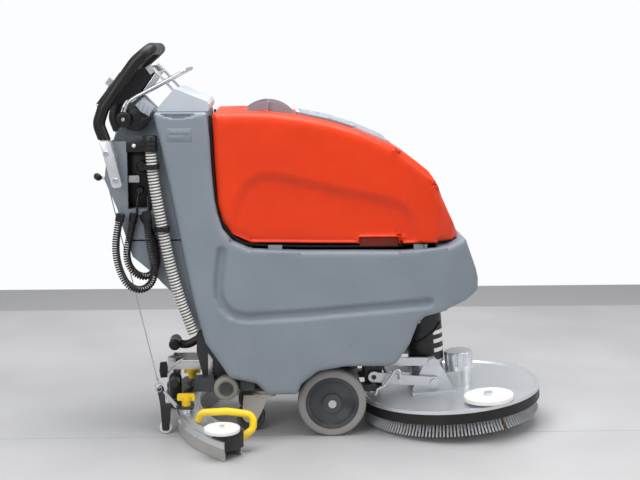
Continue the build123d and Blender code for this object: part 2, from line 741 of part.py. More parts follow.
def squeegee_carrier():
    """Yoke that turns on the swivel pin and carries the squeegee by its two knobs."""
    yoke = plan_slab([(-496, -34), (-448, -172), (-404, -172), (-404, -128), (-444, 0),
                      (-404, 128), (-404, 172), (-448, 172), (-496, 34)], 86, 92, 10)
    yoke += post(SWIVEL_X, 0, 88, 128, 19)
    yoke -= post(SWIVEL_X, 0, 80, 140, 8 + RUN_FIT)
    for side in (-1, 1):
        yoke -= post(KNOB_XY[0], side * KNOB_XY[1], 80, 100, 6 + RUN_FIT)
    yoke -= post(-463, -60, 80, 100, 26)
    hook = slab([(-512, 138), (-500, 150), (-492, 140), (-488, 92), (-496, 86), (-504, 92)],
                -LEVER_Y + 5, -LEVER_Y + 11, 3)
    link = plan_slab([(-504, -LEVER_Y + 3), (-504, -LEVER_Y + 15), (-448, -LEVER_Y + 15),
                      (-448, -LEVER_Y + 3)], 86, 92)
    return yoke + hook + link


def wing_knob(side):
    """Yellow wing nut on the carrier's stud."""
    x, y = KNOB_XY[0], side * KNOB_XY[1]
    knob = post(x, y, 92.5, 112, 13) + post(x, y, 110, 122, 17)
    wings = block(x - 26, x + 26, y - 6, y + 6, 108, 128)
    return knob + fillet(wings.edges().filter_by(Axis.Y), 5) - post(x, y, 90, 104, 6 + RUN_FIT)


def suction_elbow():
    """Black rubber elbow where the suction hose leaves the squeegee."""
    elbow = post(-463, -60, 92.5, 150, 19)
    return elbow + Pos(-463, -60, 150) * Sphere(19)


def bump_roller(side):
    x, y, z = BUMP_XYZ
    roller = fillet(post(x, side * y, z - BUMP_T / 2, z + BUMP_T / 2, BUMP_R).edges(), 3)
    return roller - post(x, side * y, z - 20, z + 20, 7 + RUN_FIT)


def bumper_hoops():
    """Bent yellow guard tube at each end of the squeegee, with its black foot."""
    def hoop(side):
        points = [(-384, side * 264, 84), (-374, side * 276, 109), (-300, side * 282, 114),
                  (-228, side * 288, 104), (-230, side * 298, 66), (-262, side * 306, 44)]
        line = FilletPolyline(*points, radius=[16, 70, 22, 20])
        return tube_on(line, 10.5)
    return both(hoop)


def support_wheel(side):
    x, y, z = SUPPORT_XYZ
    wheel = fillet(across(x, z, side * y - 8, side * y + 8, SUPPORT_R).edges(), 2)
    return wheel - across(x, z, side * y - 12, side * y + 12, 4 + RUN_FIT)


def squeegee_fittings():
    """Black forks behind the squeegee that hold its two small wheels, and the hose elbow."""
    x, y, z = SUPPORT_XYZ
    def fork(side):
        piece = across(x, z, side * y - 13, side * y + 13, 4)
        for edge in (-1, 1):
            leg_y = side * y + edge * 11
            piece += slab([(x - 10, z - 8), (x + 10, z - 8), (x + 16, 84), (x - 14, 84)],
                          leg_y - 2, leg_y + 2, 5)
        piece += block(x - 14, x + 60, side * y - 13, side * y + 13, 78, 85.5)
        return piece
    return group(fork(-1), fork(1), suction_elbow())


# ---------------------------------------------------------------- scrub deck

def on_deck(shape):
    """Moves a piece from the deck's level frame to its tilted place."""
    return Pos(DECK_X, 0, DECK_Z) * Rot(0, -DECK_TILT, 0) * shape


def turned(points):
    return revolve(make_face(Polyline(*[(r, 0, z) for r, z in points], close=True)), Axis.Z)


def deck_cover():
    """Cast top of the deck with its rolled rim."""
    plate = turned([(0, 6), (120, 2), (262, -2), (DECK_R, -2), (DECK_R, 8), (266, 9),
                    (258, 4), (120, 8), (70, 12), (0, 12)])
    return on_deck(plate - Cylinder(14.5, 60))


def skirt_ring():
    ring = turned([(264, -2.2), (264, -SKIRT_H), (272, -SKIRT_H), (272, -2.2)])
    return on_deck(ring)


def brush():
    """Plastic disc with its drive hub, and the ring of bristles below it."""
    disc = turned([(0, -18), (60, -18), (60, -14), (244, -14), (248, -18), (248, -36), (0, -36)])
    disc += post(0, 0, -20, 34, 14)
    ring = turned([(120, -36), (246, -36), (BRUSH_R, -BRISTLE_DROP), (112, -BRISTLE_DROP)])
    return group(on_deck(disc), on_deck(ring))


def gearbox():
    """Cast gearbox from the motor's foot to the brush axis, with the ribbed cap on it."""
    casting = post(MOTOR_U, 0, 8.5, 100, 50) + post(CAP_U, 0, 8.5, 60, CAP_R - 4)
    casting += block(MOTOR_U, CAP_U, -38, 38, 8.5, 56)
    casting += post(MOTOR_U, 0, 88, 100, 53.5)
    casting -= post(0, 0, 0, 36, 14 + RUN_FIT)
    casting = casting - turned([(0, 5), (120, 2), (262, -2), (266, 9), (120, 8), (70, 12), (0, 12)])
    cap = fillet(post(CAP_U, 0, 56, 112, CAP_R).edges().sort_by(Axis.Z)[-1], 7)
    for index in range(10):
        angle = radians(index * 36)
        u, v = CAP_U + (CAP_R + 1) * cos(angle), (CAP_R + 1) * sin(angle)
        cap -= post(u, v, 70, 114, 5)
    return on_deck(casting + cap)


def motor():
    """Brush motor standing on the gearbox."""
    can = post(MOTOR_U, 0, 100, 244, MOTOR_R)
    can += post(MOTOR_U, 0, 244, 250, 40)
    for z in (124, 152, 178):
        can += post(MOTOR_U, 0, z, z + 14, MOTOR_R + 0.8)
    return on_deck(fillet(can.edges().filter_by(GeomType.CIRCLE).sort_by(Axis.Z)[0], 1))


def deck_brackets():
    """Triangular lugs on the cover, with the pins that the arms hang on."""
    def lug(side):
        uu, uz = DECK_UPPER
        lu, lz = DECK_LOWER
        outline = [(-122, 14), (uu - 16, uz + 6), (uu - 6, uz + 14), (uu + 8, uz + 13),
                   (uu + 18, uz), (lu + 62, 14)]
        plate = slab(outline, side * 60 - 3, side * 60 + 3, 5)
        foot = plan_slab([(-126, side * 54), (-126, side * 92), (10, side * 92), (10, side * 54)],
                         8.2, 15, 8)
        pins = across(uu, uz, side * 60, side * 78, PIN_R) + across(lu, lz, side * 60, side * 78, PIN_R)
        for u, z in (DECK_UPPER, DECK_LOWER):
            pins += across(u, z, side * 78, side * 82, 11)
        return plate + foot + pins
    seat = turned([(0, -6), (266, -6), (266, 9), (258, 4), (120, 8), (70, 12), (0, 12)])
    return group(on_deck(both(lug) - seat), roller_stud())


def front_roller():
    u, v = ROLLER_UV
    roller = fillet(post(u, -v, 14, 14 + ROLLER_T, ROLLER_R).edges(), 3)
    return on_deck(roller - post(u, -v, 0, 40, 8 + RUN_FIT))


def roller_stud():
    """Spacer and bolt that carry the front roller."""
    u, v = ROLLER_UV
    stud = post(u, -v, 5.5, 13.5, 20) + post(u, -v, 12, 30, 8) + post(u, -v, 28.5, 35, 13)
    return on_deck(stud)


def deck_point(u, z):
    """Place of a deck point in X and Z once the deck is tilted."""
    a = radians(DECK_TILT)
    return DECK_X + u * cos(a) - z * sin(a), DECK_Z + u * sin(a) + z * cos(a)


def link_bar(start, end, width, side, eye):
    """A flat bar between two pivots, with rounded eyes."""
    (x0, z0), (x1, z1) = start, end
    length = hypot(x1 - x0, z1 - z0)
    nx, nz = -(z1 - z0) / length * width / 2, (x1 - x0) / length * width / 2
    y0 = side * (ARM_Y + ARM_T / 2) - ARM_T / 2
    bar = slab([(x0 + nx, z0 + nz), (x1 + nx, z1 + nz), (x1 - nx, z1 - nz), (x0 - nx, z0 - nz)],
               y0, y0 + ARM_T)
    return bar + across(x0, z0, y0, y0 + ARM_T, eye) + across(x1, z1, y0, y0 + ARM_T, eye)


def upper_arm():
    front = deck_point(*DECK_UPPER)
    arm = link_bar(ARM_UPPER, front, 25, -1, 14) + link_bar(ARM_UPPER, front, 25, 1, 14)
    arm += across(190, ARM_UPPER[1], -70, 70, 9)
    for x, z in (ARM_UPPER, front):
        arm -= across(x, z, -100, 100, PIN_R + RUN_FIT)
    return arm


def lower_arm():
    """Lower arm, with wide front eyes in which the deck floats."""
    front = deck_point(*DECK_LOWER)
    arm = link_bar(ARM_LOWER, front, 30, -1, 17) + link_bar(ARM_LOWER, front, 30, 1, 17)
    arm += across(176, ARM_LOWER[1] - 5, -70, 70, 9)
    arm -= across(*ARM_LOWER, -100, 100, PIN_R + RUN_FIT)
    arm -= across(*front, -100, 100, PIN_R + SLOT_PLAY)
    return group(arm, lift_hook())


def lift_hook():
    """Bent rod that hangs the deck's lift cable on the lower arm."""
    y = -100
    points = [(206, y, 152.2), (206, y, 174), (192, y, 182), (180, y, 160), (160, y, 130),
              (138, y, 119), (132, y, 102)]
    line = FilletPolyline(*points, radius=[8, 8, 20, 14, 8])
    return group(tube_on(line, 4), across(206, 146, -104, -76, 6))


PARTS = {
    "body_shell": body_shell, "chassis_frame": chassis_frame, "tower_cowl": tower_cowl,
    "rear_upper_cover": rear_upper_cover, "rear_lower_cover": rear_lower_cover,
    "fasteners": fasteners,
    "handle_tube": handle_tube, "handle_grip": handle_grip, "dash_housing": dash_housing,
    "dash_panel": dash_panel, "dash_struts": dash_struts,
    "switch_housings": switch_housings, "bail": bail, "key_switch": key_switch,
    "rocker_brush": lambda: rocker(*SWITCH_AT["brush"]),
    "rocker_vacuum": lambda: rocker(*SWITCH_AT["vacuum"]),
    "drain_hose": drain_hose, "clips_and_glands": clips_and_glands,
    "curly_cord_outer": lambda: curl_tube(CURL_OUTER, CURL_OUT_Y),
    "curly_cord_inner": lambda: curl_tube(CURL_INNER, CURL_IN_Y),
    "lift_lever": lift_lever, "lift_cable": lift_cable,
    "foot_pedal": foot_pedal, "main_axle": main_axle,
    "wheel_rim_right": lambda: wheel_rim(-1), "wheel_rim_left": lambda: wheel_rim(1),
    "wheel_tyre_right": lambda: wheel_tyre(-1), "wheel_tyre_left": lambda: wheel_tyre(1),
    "castor_fork_right": lambda: castor_fork(-1), "castor_fork_left": lambda: castor_fork(1),
    "castor_wheel_right": lambda: castor_wheel(-1), "castor_wheel_left": lambda: castor_wheel(1),
    "recovery_tank": recovery_tank, "tank_hinge": tank_hinge, "tank_lid": tank_lid,
    "lid_cheeks": lid_cheeks, "batteries": batteries, "filter_unit": filter_unit,
    "filter_cap": filter_cap, "squeegee_arm": squeegee_arm,
    "squeegee_carrier": squeegee_carrier, "squeegee_body": squeegee_body,
    "squeegee_blades": squeegee_blades,
    "wing_knob_right": lambda: wing_knob(-1), "wing_knob_left": lambda: wing_knob(1),
    "bump_roller_right": lambda: bump_roller(-1),
    "bump_roller_left": lambda: bump_roller(1), "bumper_hoops": bumper_hoops,
    "support_wheel_right": lambda: support_wheel(-1),
    "support_wheel_left": lambda: support_wheel(1), "squeegee_fittings": squeegee_fittings,
    "deck_cover": deck_cover, "skirt_ring": skirt_ring, "brush": brush,
    "gearbox": gearbox, "brush_motor": motor, "deck_brackets": deck_brackets,
    "front_roller": front_roller, "upper_arm": upper_arm, "lower_arm": lower_arm,
}

os.makedirs("parts", exist_ok=True)
for name, make in PARTS.items():
    write(name, make())
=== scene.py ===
"""Walk-behind floor scrubber-dryer: looks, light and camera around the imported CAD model.

Row frame in metres: +X is forward, +Y is left, +Z is up. Lists of points in millimetres
count x from the main wheels' axle line, as the part's own source does.
"""

import json
import math
import random

import bmesh
import bpy
import numpy as np
from mathutils import Matrix, Vector
from mathutils.geometry import delaunay_2d_cdt

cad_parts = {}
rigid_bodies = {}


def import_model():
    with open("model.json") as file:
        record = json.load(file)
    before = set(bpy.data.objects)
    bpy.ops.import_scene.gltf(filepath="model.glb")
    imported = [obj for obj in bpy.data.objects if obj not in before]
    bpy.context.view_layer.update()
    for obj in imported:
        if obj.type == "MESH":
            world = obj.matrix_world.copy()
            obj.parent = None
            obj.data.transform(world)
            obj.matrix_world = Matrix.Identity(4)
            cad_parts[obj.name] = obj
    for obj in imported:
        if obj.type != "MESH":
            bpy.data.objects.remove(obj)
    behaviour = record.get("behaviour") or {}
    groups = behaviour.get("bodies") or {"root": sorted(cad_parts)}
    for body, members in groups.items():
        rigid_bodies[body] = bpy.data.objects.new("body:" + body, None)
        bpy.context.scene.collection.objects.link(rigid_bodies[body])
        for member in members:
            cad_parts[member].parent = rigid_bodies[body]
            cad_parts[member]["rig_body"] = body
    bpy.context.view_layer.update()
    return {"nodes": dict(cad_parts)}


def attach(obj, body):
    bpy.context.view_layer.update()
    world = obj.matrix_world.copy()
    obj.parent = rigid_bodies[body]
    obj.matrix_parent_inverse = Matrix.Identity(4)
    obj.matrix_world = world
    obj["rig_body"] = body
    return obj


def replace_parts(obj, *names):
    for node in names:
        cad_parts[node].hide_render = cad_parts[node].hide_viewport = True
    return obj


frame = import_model()

ORIGIN_X = 16.6          # mm, from the axle line to the row frame's origin
random.seed(7)


def at(x, y, z):
    """A point given in millimetres from the axle line, in the row frame."""
    return Vector(((x + ORIGIN_X) / 1000, y / 1000, z / 1000))


def mm_xz(points):
    """(x, z) pairs in millimetres from the axle line as an array in metres."""
    return np.array([((x + ORIGIN_X) / 1000, z / 1000) for x, z in points])


# ---------------------------------------------------------------- camera

def make_camera():
    data = bpy.data.cameras.new("camera")
    data.lens, data.sensor_width = 68.06, 36.0
    data.clip_start, data.clip_end = 0.05, 60
    camera = bpy.data.objects.new("camera", data)
    bpy.context.scene.collection.objects.link(camera)
    pitch = math.radians(9.147)
    look = Vector((0.0436 * math.cos(pitch), 0.99905 * math.cos(pitch), -math.sin(pitch)))
    camera.location = (-0.1679, -3.5787, 1.1321)
    camera.rotation_mode = "QUATERNION"
    camera.rotation_quaternion = look.to_track_quat("-Z", "Y")
    bpy.context.scene.camera = camera


make_camera()


# ---------------------------------------------------------------- materials

class Graph:
    """A material's node tree, with short calls for the nodes the finishes share."""

    def __init__(self, name):
        self.material = bpy.data.materials.new(name)
        self.material.use_nodes = True
        self.tree = self.material.node_tree
        self.shader = self.tree.nodes["Principled BSDF"]
        self.place = self.node("ShaderNodeTexCoord").outputs["Object"]

    def node(self, kind, **settings):
        made = self.tree.nodes.new(kind)
        for key, value in settings.items():
            setattr(made, key, value)
        return made

    def join(self, source, target):
        self.tree.links.new(source, target)

    def noise(self, scale, detail=4, stretch=(1, 1, 1)):
        where = self.place
        if stretch != (1, 1, 1):
            mapping = self.node("ShaderNodeMapping")
            mapping.inputs["Scale"].default_value = stretch
            self.join(where, mapping.inputs["Vector"])
            where = mapping.outputs["Vector"]
        made = self.node("ShaderNodeTexNoise")
        made.inputs["Scale"].default_value = scale
        made.inputs["Detail"].default_value = detail
        self.join(where, made.inputs["Vector"])
        return made.outputs["Fac"]

    def ramp(self, value, low, high, start=0.35, end=0.65):
        """value spread from low to high, colours or numbers as grey."""
        made = self.node("ShaderNodeValToRGB")
        stops = made.color_ramp.elements
        stops[0].position, stops[1].position = start, end
        for stop, colour in zip(stops, (low, high)):
            if isinstance(colour, (int, float)):
                colour = (colour,) * 3
            stop.color = (*colour[:3], 1)
        self.join(value, made.inputs["Fac"])
        return made.outputs["Color"]

    def mix(self, share, first, second, blend="MIX"):
        made = self.node("ShaderNodeMix", data_type="RGBA", blend_type=blend)
        for socket, value in ((0, share), (6, first), (7, second)):
            if isinstance(value, (int, float)):
                made.inputs[socket].default_value = value
            elif isinstance(value, tuple):
                made.inputs[socket].default_value = (*value[:3], 1)
            else:
                self.join(value, made.inputs[socket])
        return made.outputs[2]

    def bump(self, height, strength, distance, under=None):
        made = self.node("ShaderNodeBump")
        made.inputs["Strength"].default_value = strength
        made.inputs["Distance"].default_value = distance
        self.join(height, made.inputs["Height"])
        if under is not None:
            self.join(under, made.inputs["Normal"])
        return made.outputs["Normal"]

    def height_mask(self, low, high):
        """1 below low metres above the floor, falling to 0 at high."""
        parts = self.node("ShaderNodeSeparateXYZ")
        self.join(self.place, parts.inputs[0])
        made = self.node("ShaderNodeMapRange")
        for socket, value in (("From Min", low), ("From Max", high),
                              ("To Min", 1.0), ("To Max", 0.0)):
            made.inputs[socket].default_value = value
        self.join(parts.outputs["Z"], made.inputs["Value"])
        return made.outputs["Result"]


def shade(colour, factor):
    return tuple(min(1.0, c * factor) for c in colour)


DUST = (0.30, 0.28, 0.25)


def moulded(name, colour, rough=0.45, grain=650, depth=0.12, vary=0.10, dust=0.25, round_mm=1.2,
            **sockets):
    """Moulded plastic or rubber: orange-peel grain, cloudy tone, dust towards the floor."""
    g = Graph(name)
    cloud = g.noise(5.5, 5)
    fine = g.noise(grain, 3)
    base = g.ramp(cloud, shade(colour, 1 - vary), shade(colour, 1 + vary))
    specks = g.ramp(g.noise(95, 6), 0.0, 1.0, 0.62, 0.75)
    base = g.mix(g.mix(0.5, (0, 0, 0), specks), base, shade(colour, 0.82))
    if dust:
        low = g.height_mask(0.02, 0.34)
        patch = g.ramp(g.noise(14, 7), 0.0, dust, 0.4, 0.75)
        base = g.mix(g.mix(1.0, low, patch, "MULTIPLY"), base, DUST)
    g.join(base, g.shader.inputs["Base Color"])
    g.join(g.ramp(g.noise(28, 6), rough - 0.06, rough + 0.10), g.shader.inputs["Roughness"])
    soft = g.node("ShaderNodeBevel", samples=3)
    soft.inputs["Radius"].default_value = round_mm / 1000
    g.join(g.bump(fine, depth, 0.0006, soft.outputs["Normal"]), g.shader.inputs["Normal"])
    for socket, value in sockets.items():
        g.shader.inputs[socket.replace("_", " ")].default_value = value
    return g.material


def metal(name, colour, rough=0.34, grain=260, depth=0.15, stretch=(1, 1, 1), vary=0.12,
          stains=0.2, metallic=1.0, round_mm=0.8, smudge=0.06):
    """Bare, cast or plated metal: tooling or casting grain, dull stains, smudged gloss."""
    g = Graph(name)
    base = g.ramp(g.noise(7, 6), shade(colour, 1 - vary), shade(colour, 1 + vary))
    stain = g.ramp(g.noise(26, 9), 0.0, stains, 0.55, 0.72)
    base = g.mix(stain, base, shade(colour, 0.55))
    g.join(base, g.shader.inputs["Base Color"])
    g.shader.inputs["Metallic"].default_value = metallic
    worn = g.ramp(g.noise(34, 4, stretch), rough - smudge, rough + smudge)
    g.join(worn, g.shader.inputs["Roughness"])
    soft = g.node("ShaderNodeBevel", samples=3)
    soft.inputs["Radius"].default_value = round_mm / 1000
    normal = soft.outputs["Normal"]
    if depth:
        normal = g.bump(g.noise(grain, 4, stretch), depth, 0.0005, normal)
    g.join(normal, g.shader.inputs["Normal"])
    return g.material


MATERIALS = {
    "battery_core": moulded("battery_core", (0.023, 0.026, 0.033), 0.5),
    "beige_metal": metal("beige_metal", (0.578, 0.552, 0.503), 0.5, metallic=0.15),
    "black_plastic": moulded("black_plastic", (0.010, 0.0105, 0.012), 0.36, 900, 0.15, dust=0.1,
                             Specular_IOR_Level=0.4),
    "black_rubber": moulded("black_rubber", (0.007, 0.007, 0.007), 0.4, 500, 0.15, dust=0.04,
                            Specular_IOR_Level=0.4),
    "blade_rubber": moulded("blade_rubber", (0.40, 0.39, 0.365), 0.42, 300, 0.10, 0.08, 0.3,
                            Subsurface_Weight=0.25, Subsurface_Scale=0.01),
    "bright_steel": metal("bright_steel", (0.62, 0.63, 0.65), 0.30, 420, 0, (1, 1, 6), 0.03,
                          0.03, smudge=0.03),
    "bristle_plastic": moulded("bristle_plastic", (0.60, 0.615, 0.64), 0.5, 1500, 0.4, 0.16, 0.3),
    "cap_plastic": moulded("cap_plastic", (0.262, 0.258, 0.216), 0.55, 500, 0.3, 0.15, 0.5),
    "cast_aluminium": metal("cast_aluminium", (0.70, 0.72, 0.745), 0.33, 700, 0.08, vary=0.03,
                            stains=0.03, metallic=0.75, smudge=0.03),
    "cord_rubber": moulded("cord_rubber", (0.011, 0.010, 0.010), 0.33, 700, 0.1, dust=0.05),
    "dark_plastic": moulded("dark_plastic", (0.042, 0.053, 0.063), 0.5, 800, 0.2),
    "dark_tyre": moulded("dark_tyre", (0.068, 0.065, 0.065), 0.7, 400, 0.4, dust=0.5),
    "frame_steel": metal("frame_steel", (0.045, 0.048, 0.053), 0.42, metallic=0.4),
    "grey_moulding": moulded("grey_moulding", (0.208, 0.240, 0.275), 0.46, 900, 0.14, 0.05, 0.22,
                             round_mm=3.0),
    "grey_tyre": moulded("grey_tyre", (0.262, 0.254, 0.246), 0.72, 350, 0.35, 0.10, 0.6),
    "hose_plastic": moulded("hose_plastic", (0.70, 0.705, 0.675), 0.38, 800, 0.1, 0.06, 0.2),
    "motor_black": moulded("motor_black", (0.011, 0.0115, 0.013), 0.33, 800, 0.12, dust=0.1),
    "pale_moulding": moulded("pale_moulding", (0.46, 0.50, 0.55), 0.44, 900, 0.12, 0.05, 0.1,
                             round_mm=2.5),
    "panel_plastic": moulded("panel_plastic", (0.156, 0.171, 0.188), 0.45, 900, 0.12),
    "red_moulding": moulded("red_moulding", (0.75, 0.042, 0.005), 0.36, 1000, 0.07, 0.05, 0.0,
                            round_mm=3.0, Specular_IOR_Level=0.3),
    "slate_plastic": moulded("slate_plastic", (0.026, 0.031, 0.038), 0.45, 700, 0.2, dust=0.3),
    "switch_plastic": moulded("switch_plastic", (0.025, 0.027, 0.030), 0.28, 900, 0.08),
    "white_plastic": moulded("white_plastic", (0.86, 0.86, 0.84), 0.34, 700, 0.08, 0.03, 0.15),
    "yellow_plastic": moulded("yellow_plastic", (0.93, 0.62, 0.007), 0.36, 700, 0.1, 0.05, 0.2),
}


def carry_over_materials():
    """Each CAD node keeps its shape and takes the finished material of its own slot."""
    for node in frame["nodes"].values():
        for place in node.material_slots:
            name = place.material.name.split(".")[0] if place.material else ""
            if name in MATERIALS:
                place.material = MATERIALS[name]
            else:
                print("no finish for", node.name, name)


carry_over_materials()


# ---------------------------------------------------------------- mesh helpers

def smooth_by_angle(bm, degrees):
    limit = math.radians(degrees)
    for face in bm.faces:
        face.smooth = True
    for edge in bm.edges:
        if len(edge.link_faces) == 2:
            edge.smooth = edge.calc_face_angle(0) < limit


def piece_from(bm, name, material, body, angle=38):
    bm.normal_update()
    smooth_by_angle(bm, angle)
    mesh = bpy.data.meshes.new(name)
    bm.to_mesh(mesh)
    bm.free()
    made = bpy.data.objects.new(name, mesh)
    bpy.context.scene.collection.objects.link(made)
    for one in material if isinstance(material, (list, tuple)) else [material]:
        mesh.materials.append(MATERIALS[one] if isinstance(one, str) else one)
    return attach(made, body)


def tube(bm, points, radius, sides=10, caps=True, start_up=None, material=0):
    """A tube of one radius, or one radius a point, along points, with parallel-carried rings."""
    points = [Vector(p) for p in points]
    radii = radius if hasattr(radius, "__len__") else [radius] * len(points)
    side = Vector(start_up) if start_up else None
    rings = []
    for index, here in enumerate(points):
        ahead = points[min(index + 1, len(points) - 1)] - points[max(index - 1, 0)]
        ahead.normalize()
        if side is None:
            side = ahead.orthogonal()
        side = (side - ahead * side.dot(ahead)).normalized()
        across = ahead.cross(side)
        reach = radii[index]
        rings.append([bm.verts.new(here + (side * math.cos(a) + across * math.sin(a)) * reach)
                      for a in (2 * math.pi * k / sides for k in range(sides))])
    for first, second in zip(rings, rings[1:]):
        for k in range(sides):
            face = bm.faces.new((first[k], first[(k + 1) % sides],
                                 second[(k + 1) % sides], second[k]))
            face.material_index = material
    if caps:
        for ring in (list(reversed(rings[0])), rings[-1]):
            bm.faces.new(ring).material_index = material
    return rings


def boxes(bm, spans, material=0, ease=0.0015):
    """Closed boxes with eased edges; each span is x0, x1, y0, y1, z0, z1 in mm from the axle."""
    for x0, x1, y0, y1, z0, z1 in spans:
        low, high = at(x0, y0, z0), at(x1, y1, z1)
        made = bmesh.ops.create_cube(bm, size=1)["verts"]
        for v in made:
            v.co = Vector([low[k] if v.co[k] < 0 else high[k] for k in range(3)])
        edges = list({e for v in made for e in v.link_edges})
        for face in {f for v in made for f in v.link_faces}:
            face.material_index = material
        if ease:
            bmesh.ops.bevel(bm, geom=edges, offset=ease, segments=2, affect="EDGES", profile=0.5,
                            material=-1)


def plate(bm, outline, y0, y1, material=0, ease=0.001):
    """A flat plate from an (x, z) outline in mm, between two y planes, with eased edges."""
    front = [bm.verts.new(at(x, y0, z)) for x, z in outline]
    back = [bm.verts.new(at(x, y1, z)) for x, z in outline]
    faces = [bm.faces.new(front), bm.faces.new(list(reversed(back)))]
    for k in range(len(outline)):
        n = (k + 1) % len(outline)
        faces.append(bm.faces.new((front[n], front[k], back[k], back[n])))
    bmesh.ops.recalc_face_normals(bm, faces=faces)
    for face in faces:
        face.material_index = material
    rim = [e for e in faces[0].edges] + [e for e in faces[1].edges]
    bmesh.ops.bevel(bm, geom=rim, offset=ease, segments=2, affect="EDGES", profile=0.5,
                    material=-1)


def lathe(bm, profile, place, sides=40, material=0, ripple=None):
    """Turns (radius, along) pairs about an axis; place(a, b, along) puts a point, all in mm."""
    rings = []
    for radius, along in profile:
        ring = []
        for k in range(sides):
            angle = 2 * math.pi * k / sides
            r = radius + (ripple(k, along) if ripple and radius > 1 else 0)
            ring.append(bm.verts.new(place(r * math.cos(angle), r * math.sin(angle), along)))
        rings.append(ring)
    faces = []
    for first, second in zip(rings, rings[1:]):
        for k in range(sides):
            faces.append(bm.faces.new((first[k], first[(k + 1) % sides],
                                       second[(k + 1) % sides], second[k])))
    faces += [bm.faces.new(list(reversed(rings[0]))), bm.faces.new(rings[-1])]
    bmesh.ops.recalc_face_normals(bm, faces=faces)
    for face in faces:
        face.material_index = material


def across_y(x, z, side=1):
    """Place for lathe(): the axis lies along Y through (x, z)."""
    return lambda a, b, along: at(x + a, side * along, z + b)


def route_points(name, points):
    """Points along the NURBS spline that has these control points, from a curve with no bevel."""
    data = bpy.data.curves.new(name, "CURVE")
    data.dimensions = "3D"
    data.resolution_u = 24
    spline = data.splines.new("NURBS")
    spline.points.add(len(points) - 1)
    for control, point in zip(spline.points, points):
        control.co = (*point, 1)
    spline.order_u = 3
    spline.use_endpoint_u = True
    holder = bpy.data.objects.new(name, data)
    bpy.context.scene.collection.objects.link(holder)
    bpy.context.view_layer.update()
    mesh = bpy.data.meshes.new_from_object(holder)
    line = [v.co.copy() for v in mesh.vertices]
    bpy.data.objects.remove(holder)
    bpy.data.meshes.remove(mesh)
    return line


def evenly(line, step):
    """Points a step apart along a polyline, with its two ends."""
    line = np.array([list(p) for p in line])
    runs = np.r_[0, np.cumsum(np.linalg.norm(np.diff(line, axis=0), axis=1))]
    count = max(2, int(round(runs[-1] / step)) + 1)
    where = np.linspace(0, runs[-1], count)
    return np.stack([np.interp(where, runs, line[:, k]) for k in range(3)], axis=1), runs[-1]


# ---------------------------------------------------------------- curly cords

CURL_WIRE = 0.0052        # diameter of the coiled cable
CURL_PITCH = 0.0066       # from one turn to the next
CURL_R = 0.0115 - CURL_WIRE / 2
CURL_OUTER = [(-524, 648), (-521, 600), (-514, 552), (-504, 505), (-513, 464), (-546, 442),
              (-583, 458), (-604, 500), (-614, 548), (-612, 598), (-602, 642)]
CURL_INNER = [(-567, 640), (-576, 595), (-587, 552), (-582, 512), (-558, 483), (-526, 478),
              (-504, 500), (-501, 540), (-510, 588), (-530, 640)]
CURL_Y = {"outer": -188, "inner": -164}


def curly_cord(which, route):
    """The coiled cable wound about its route, turn after turn, as one mesh tube."""
    line, _ = evenly(route_points("route_" + which, [at(x, CURL_Y[which], z) for x, z in route]),
                     CURL_PITCH / 12)
    side = np.array([0.0, 1.0, 0.0])
    helix = []
    for index, here in enumerate(line):
        ahead = line[min(index + 1, len(line) - 1)] - line[max(index - 1, 0)]
        ahead /= np.linalg.norm(ahead)
        across = np.cross(ahead, side)
        turn = 2 * math.pi * index / 12
        helix.append(here + CURL_R * (side * math.cos(turn) + across * math.sin(turn)))
    helix = np.array(helix)
    bm = bmesh.new()
    tube(bm, helix, CURL_WIRE / 2, sides=6)
    cord = piece_from(bm, "curly_cable_" + which, "cord_rubber", "chassis", 60)
    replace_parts(cord, "curly_cord_" + which)


curly_cord("outer", CURL_OUTER)
curly_cord("inner", CURL_INNER)


# ---------------------------------------------------------------- drain hose

HOSE_LINE = [(-511, 866), (-508, 791), (-496, 707), (-482, 623), (-464, 524), (-438, 423),
             (-412, 352), (-400, 318)]
HOSE_Y = -186
HOSE_R = 0.016
RIB = 0.0088


# Painted shade: the dark colour given to the valleys between the hose's ribs.
HOSE_GROOVE_SHADE = moulded("hose_groove_shade", (0.16, 0.155, 0.14), 0.6, 800, 0.1)


def drain_hose():
    """The clipped hose with its moulded ribs and painted shade in the valleys between them, the
    ringed cuff and its plug.
    """
    line, length = evenly(route_points("hose_route", [at(x, HOSE_Y, z) for x, z in HOSE_LINE]),
                          RIB / 8)
    deep = [(0.5 - 0.5 * math.cos(2 * math.pi * k / 8)) for k in range(len(line))]
    waves = [HOSE_R - 0.0034 * share ** 1.5 for share in deep]
    bm = bmesh.new()
    rings = tube(bm, line, waves, sides=24)
    # Painted shade: the faces at the bottom of each valley take the dark groove colour.
    for ring, share in zip(rings, deep):
        if share > 0.8:
            for vert in ring:
                for face in vert.link_faces:
                    face.material_index = 2
    cuff = [(0.1, 838), (17, 838), (20.5, 840), (21, 843), (21, 850), (19.8, 851), (19.8, 855),
            (21, 856), (21, 862), (19.8, 863), (19.8, 867), (21, 868), (21, 880), (18, 884),
            (0.1, 884)]
    lathe(bm, cuff, lambda a, b, along: at(HOSE_LINE[0][0] + a, HOSE_Y + b, along), 32, 1)
    hose = piece_from(bm, "corrugated_hose", ["hose_plastic", "black_plastic", HOSE_GROOVE_SHADE],
                      "chassis", 50)
    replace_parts(hose, "drain_hose")


drain_hose()


# ---------------------------------------------------------------- softened shells

def near_lines(points, lines):
    """Distance of each (x, z) point to the nearest of the segments, and that segment's place."""
    best = np.full(len(points), 1e9)
    which = np.zeros(len(points), int)
    along = np.zeros(len(points))
    for index, (a, b) in enumerate(lines):
        run = b - a
        t = np.clip(((points - a) @ run) / max(run @ run, 1e-12), 0, 1)
        gap = np.linalg.norm(points - a - t[:, None] * run, axis=1)
        nearer = gap < best
        best[nearer], which[nearer], along[nearer] = gap[nearer], index, t[nearer]
    return best, which, along


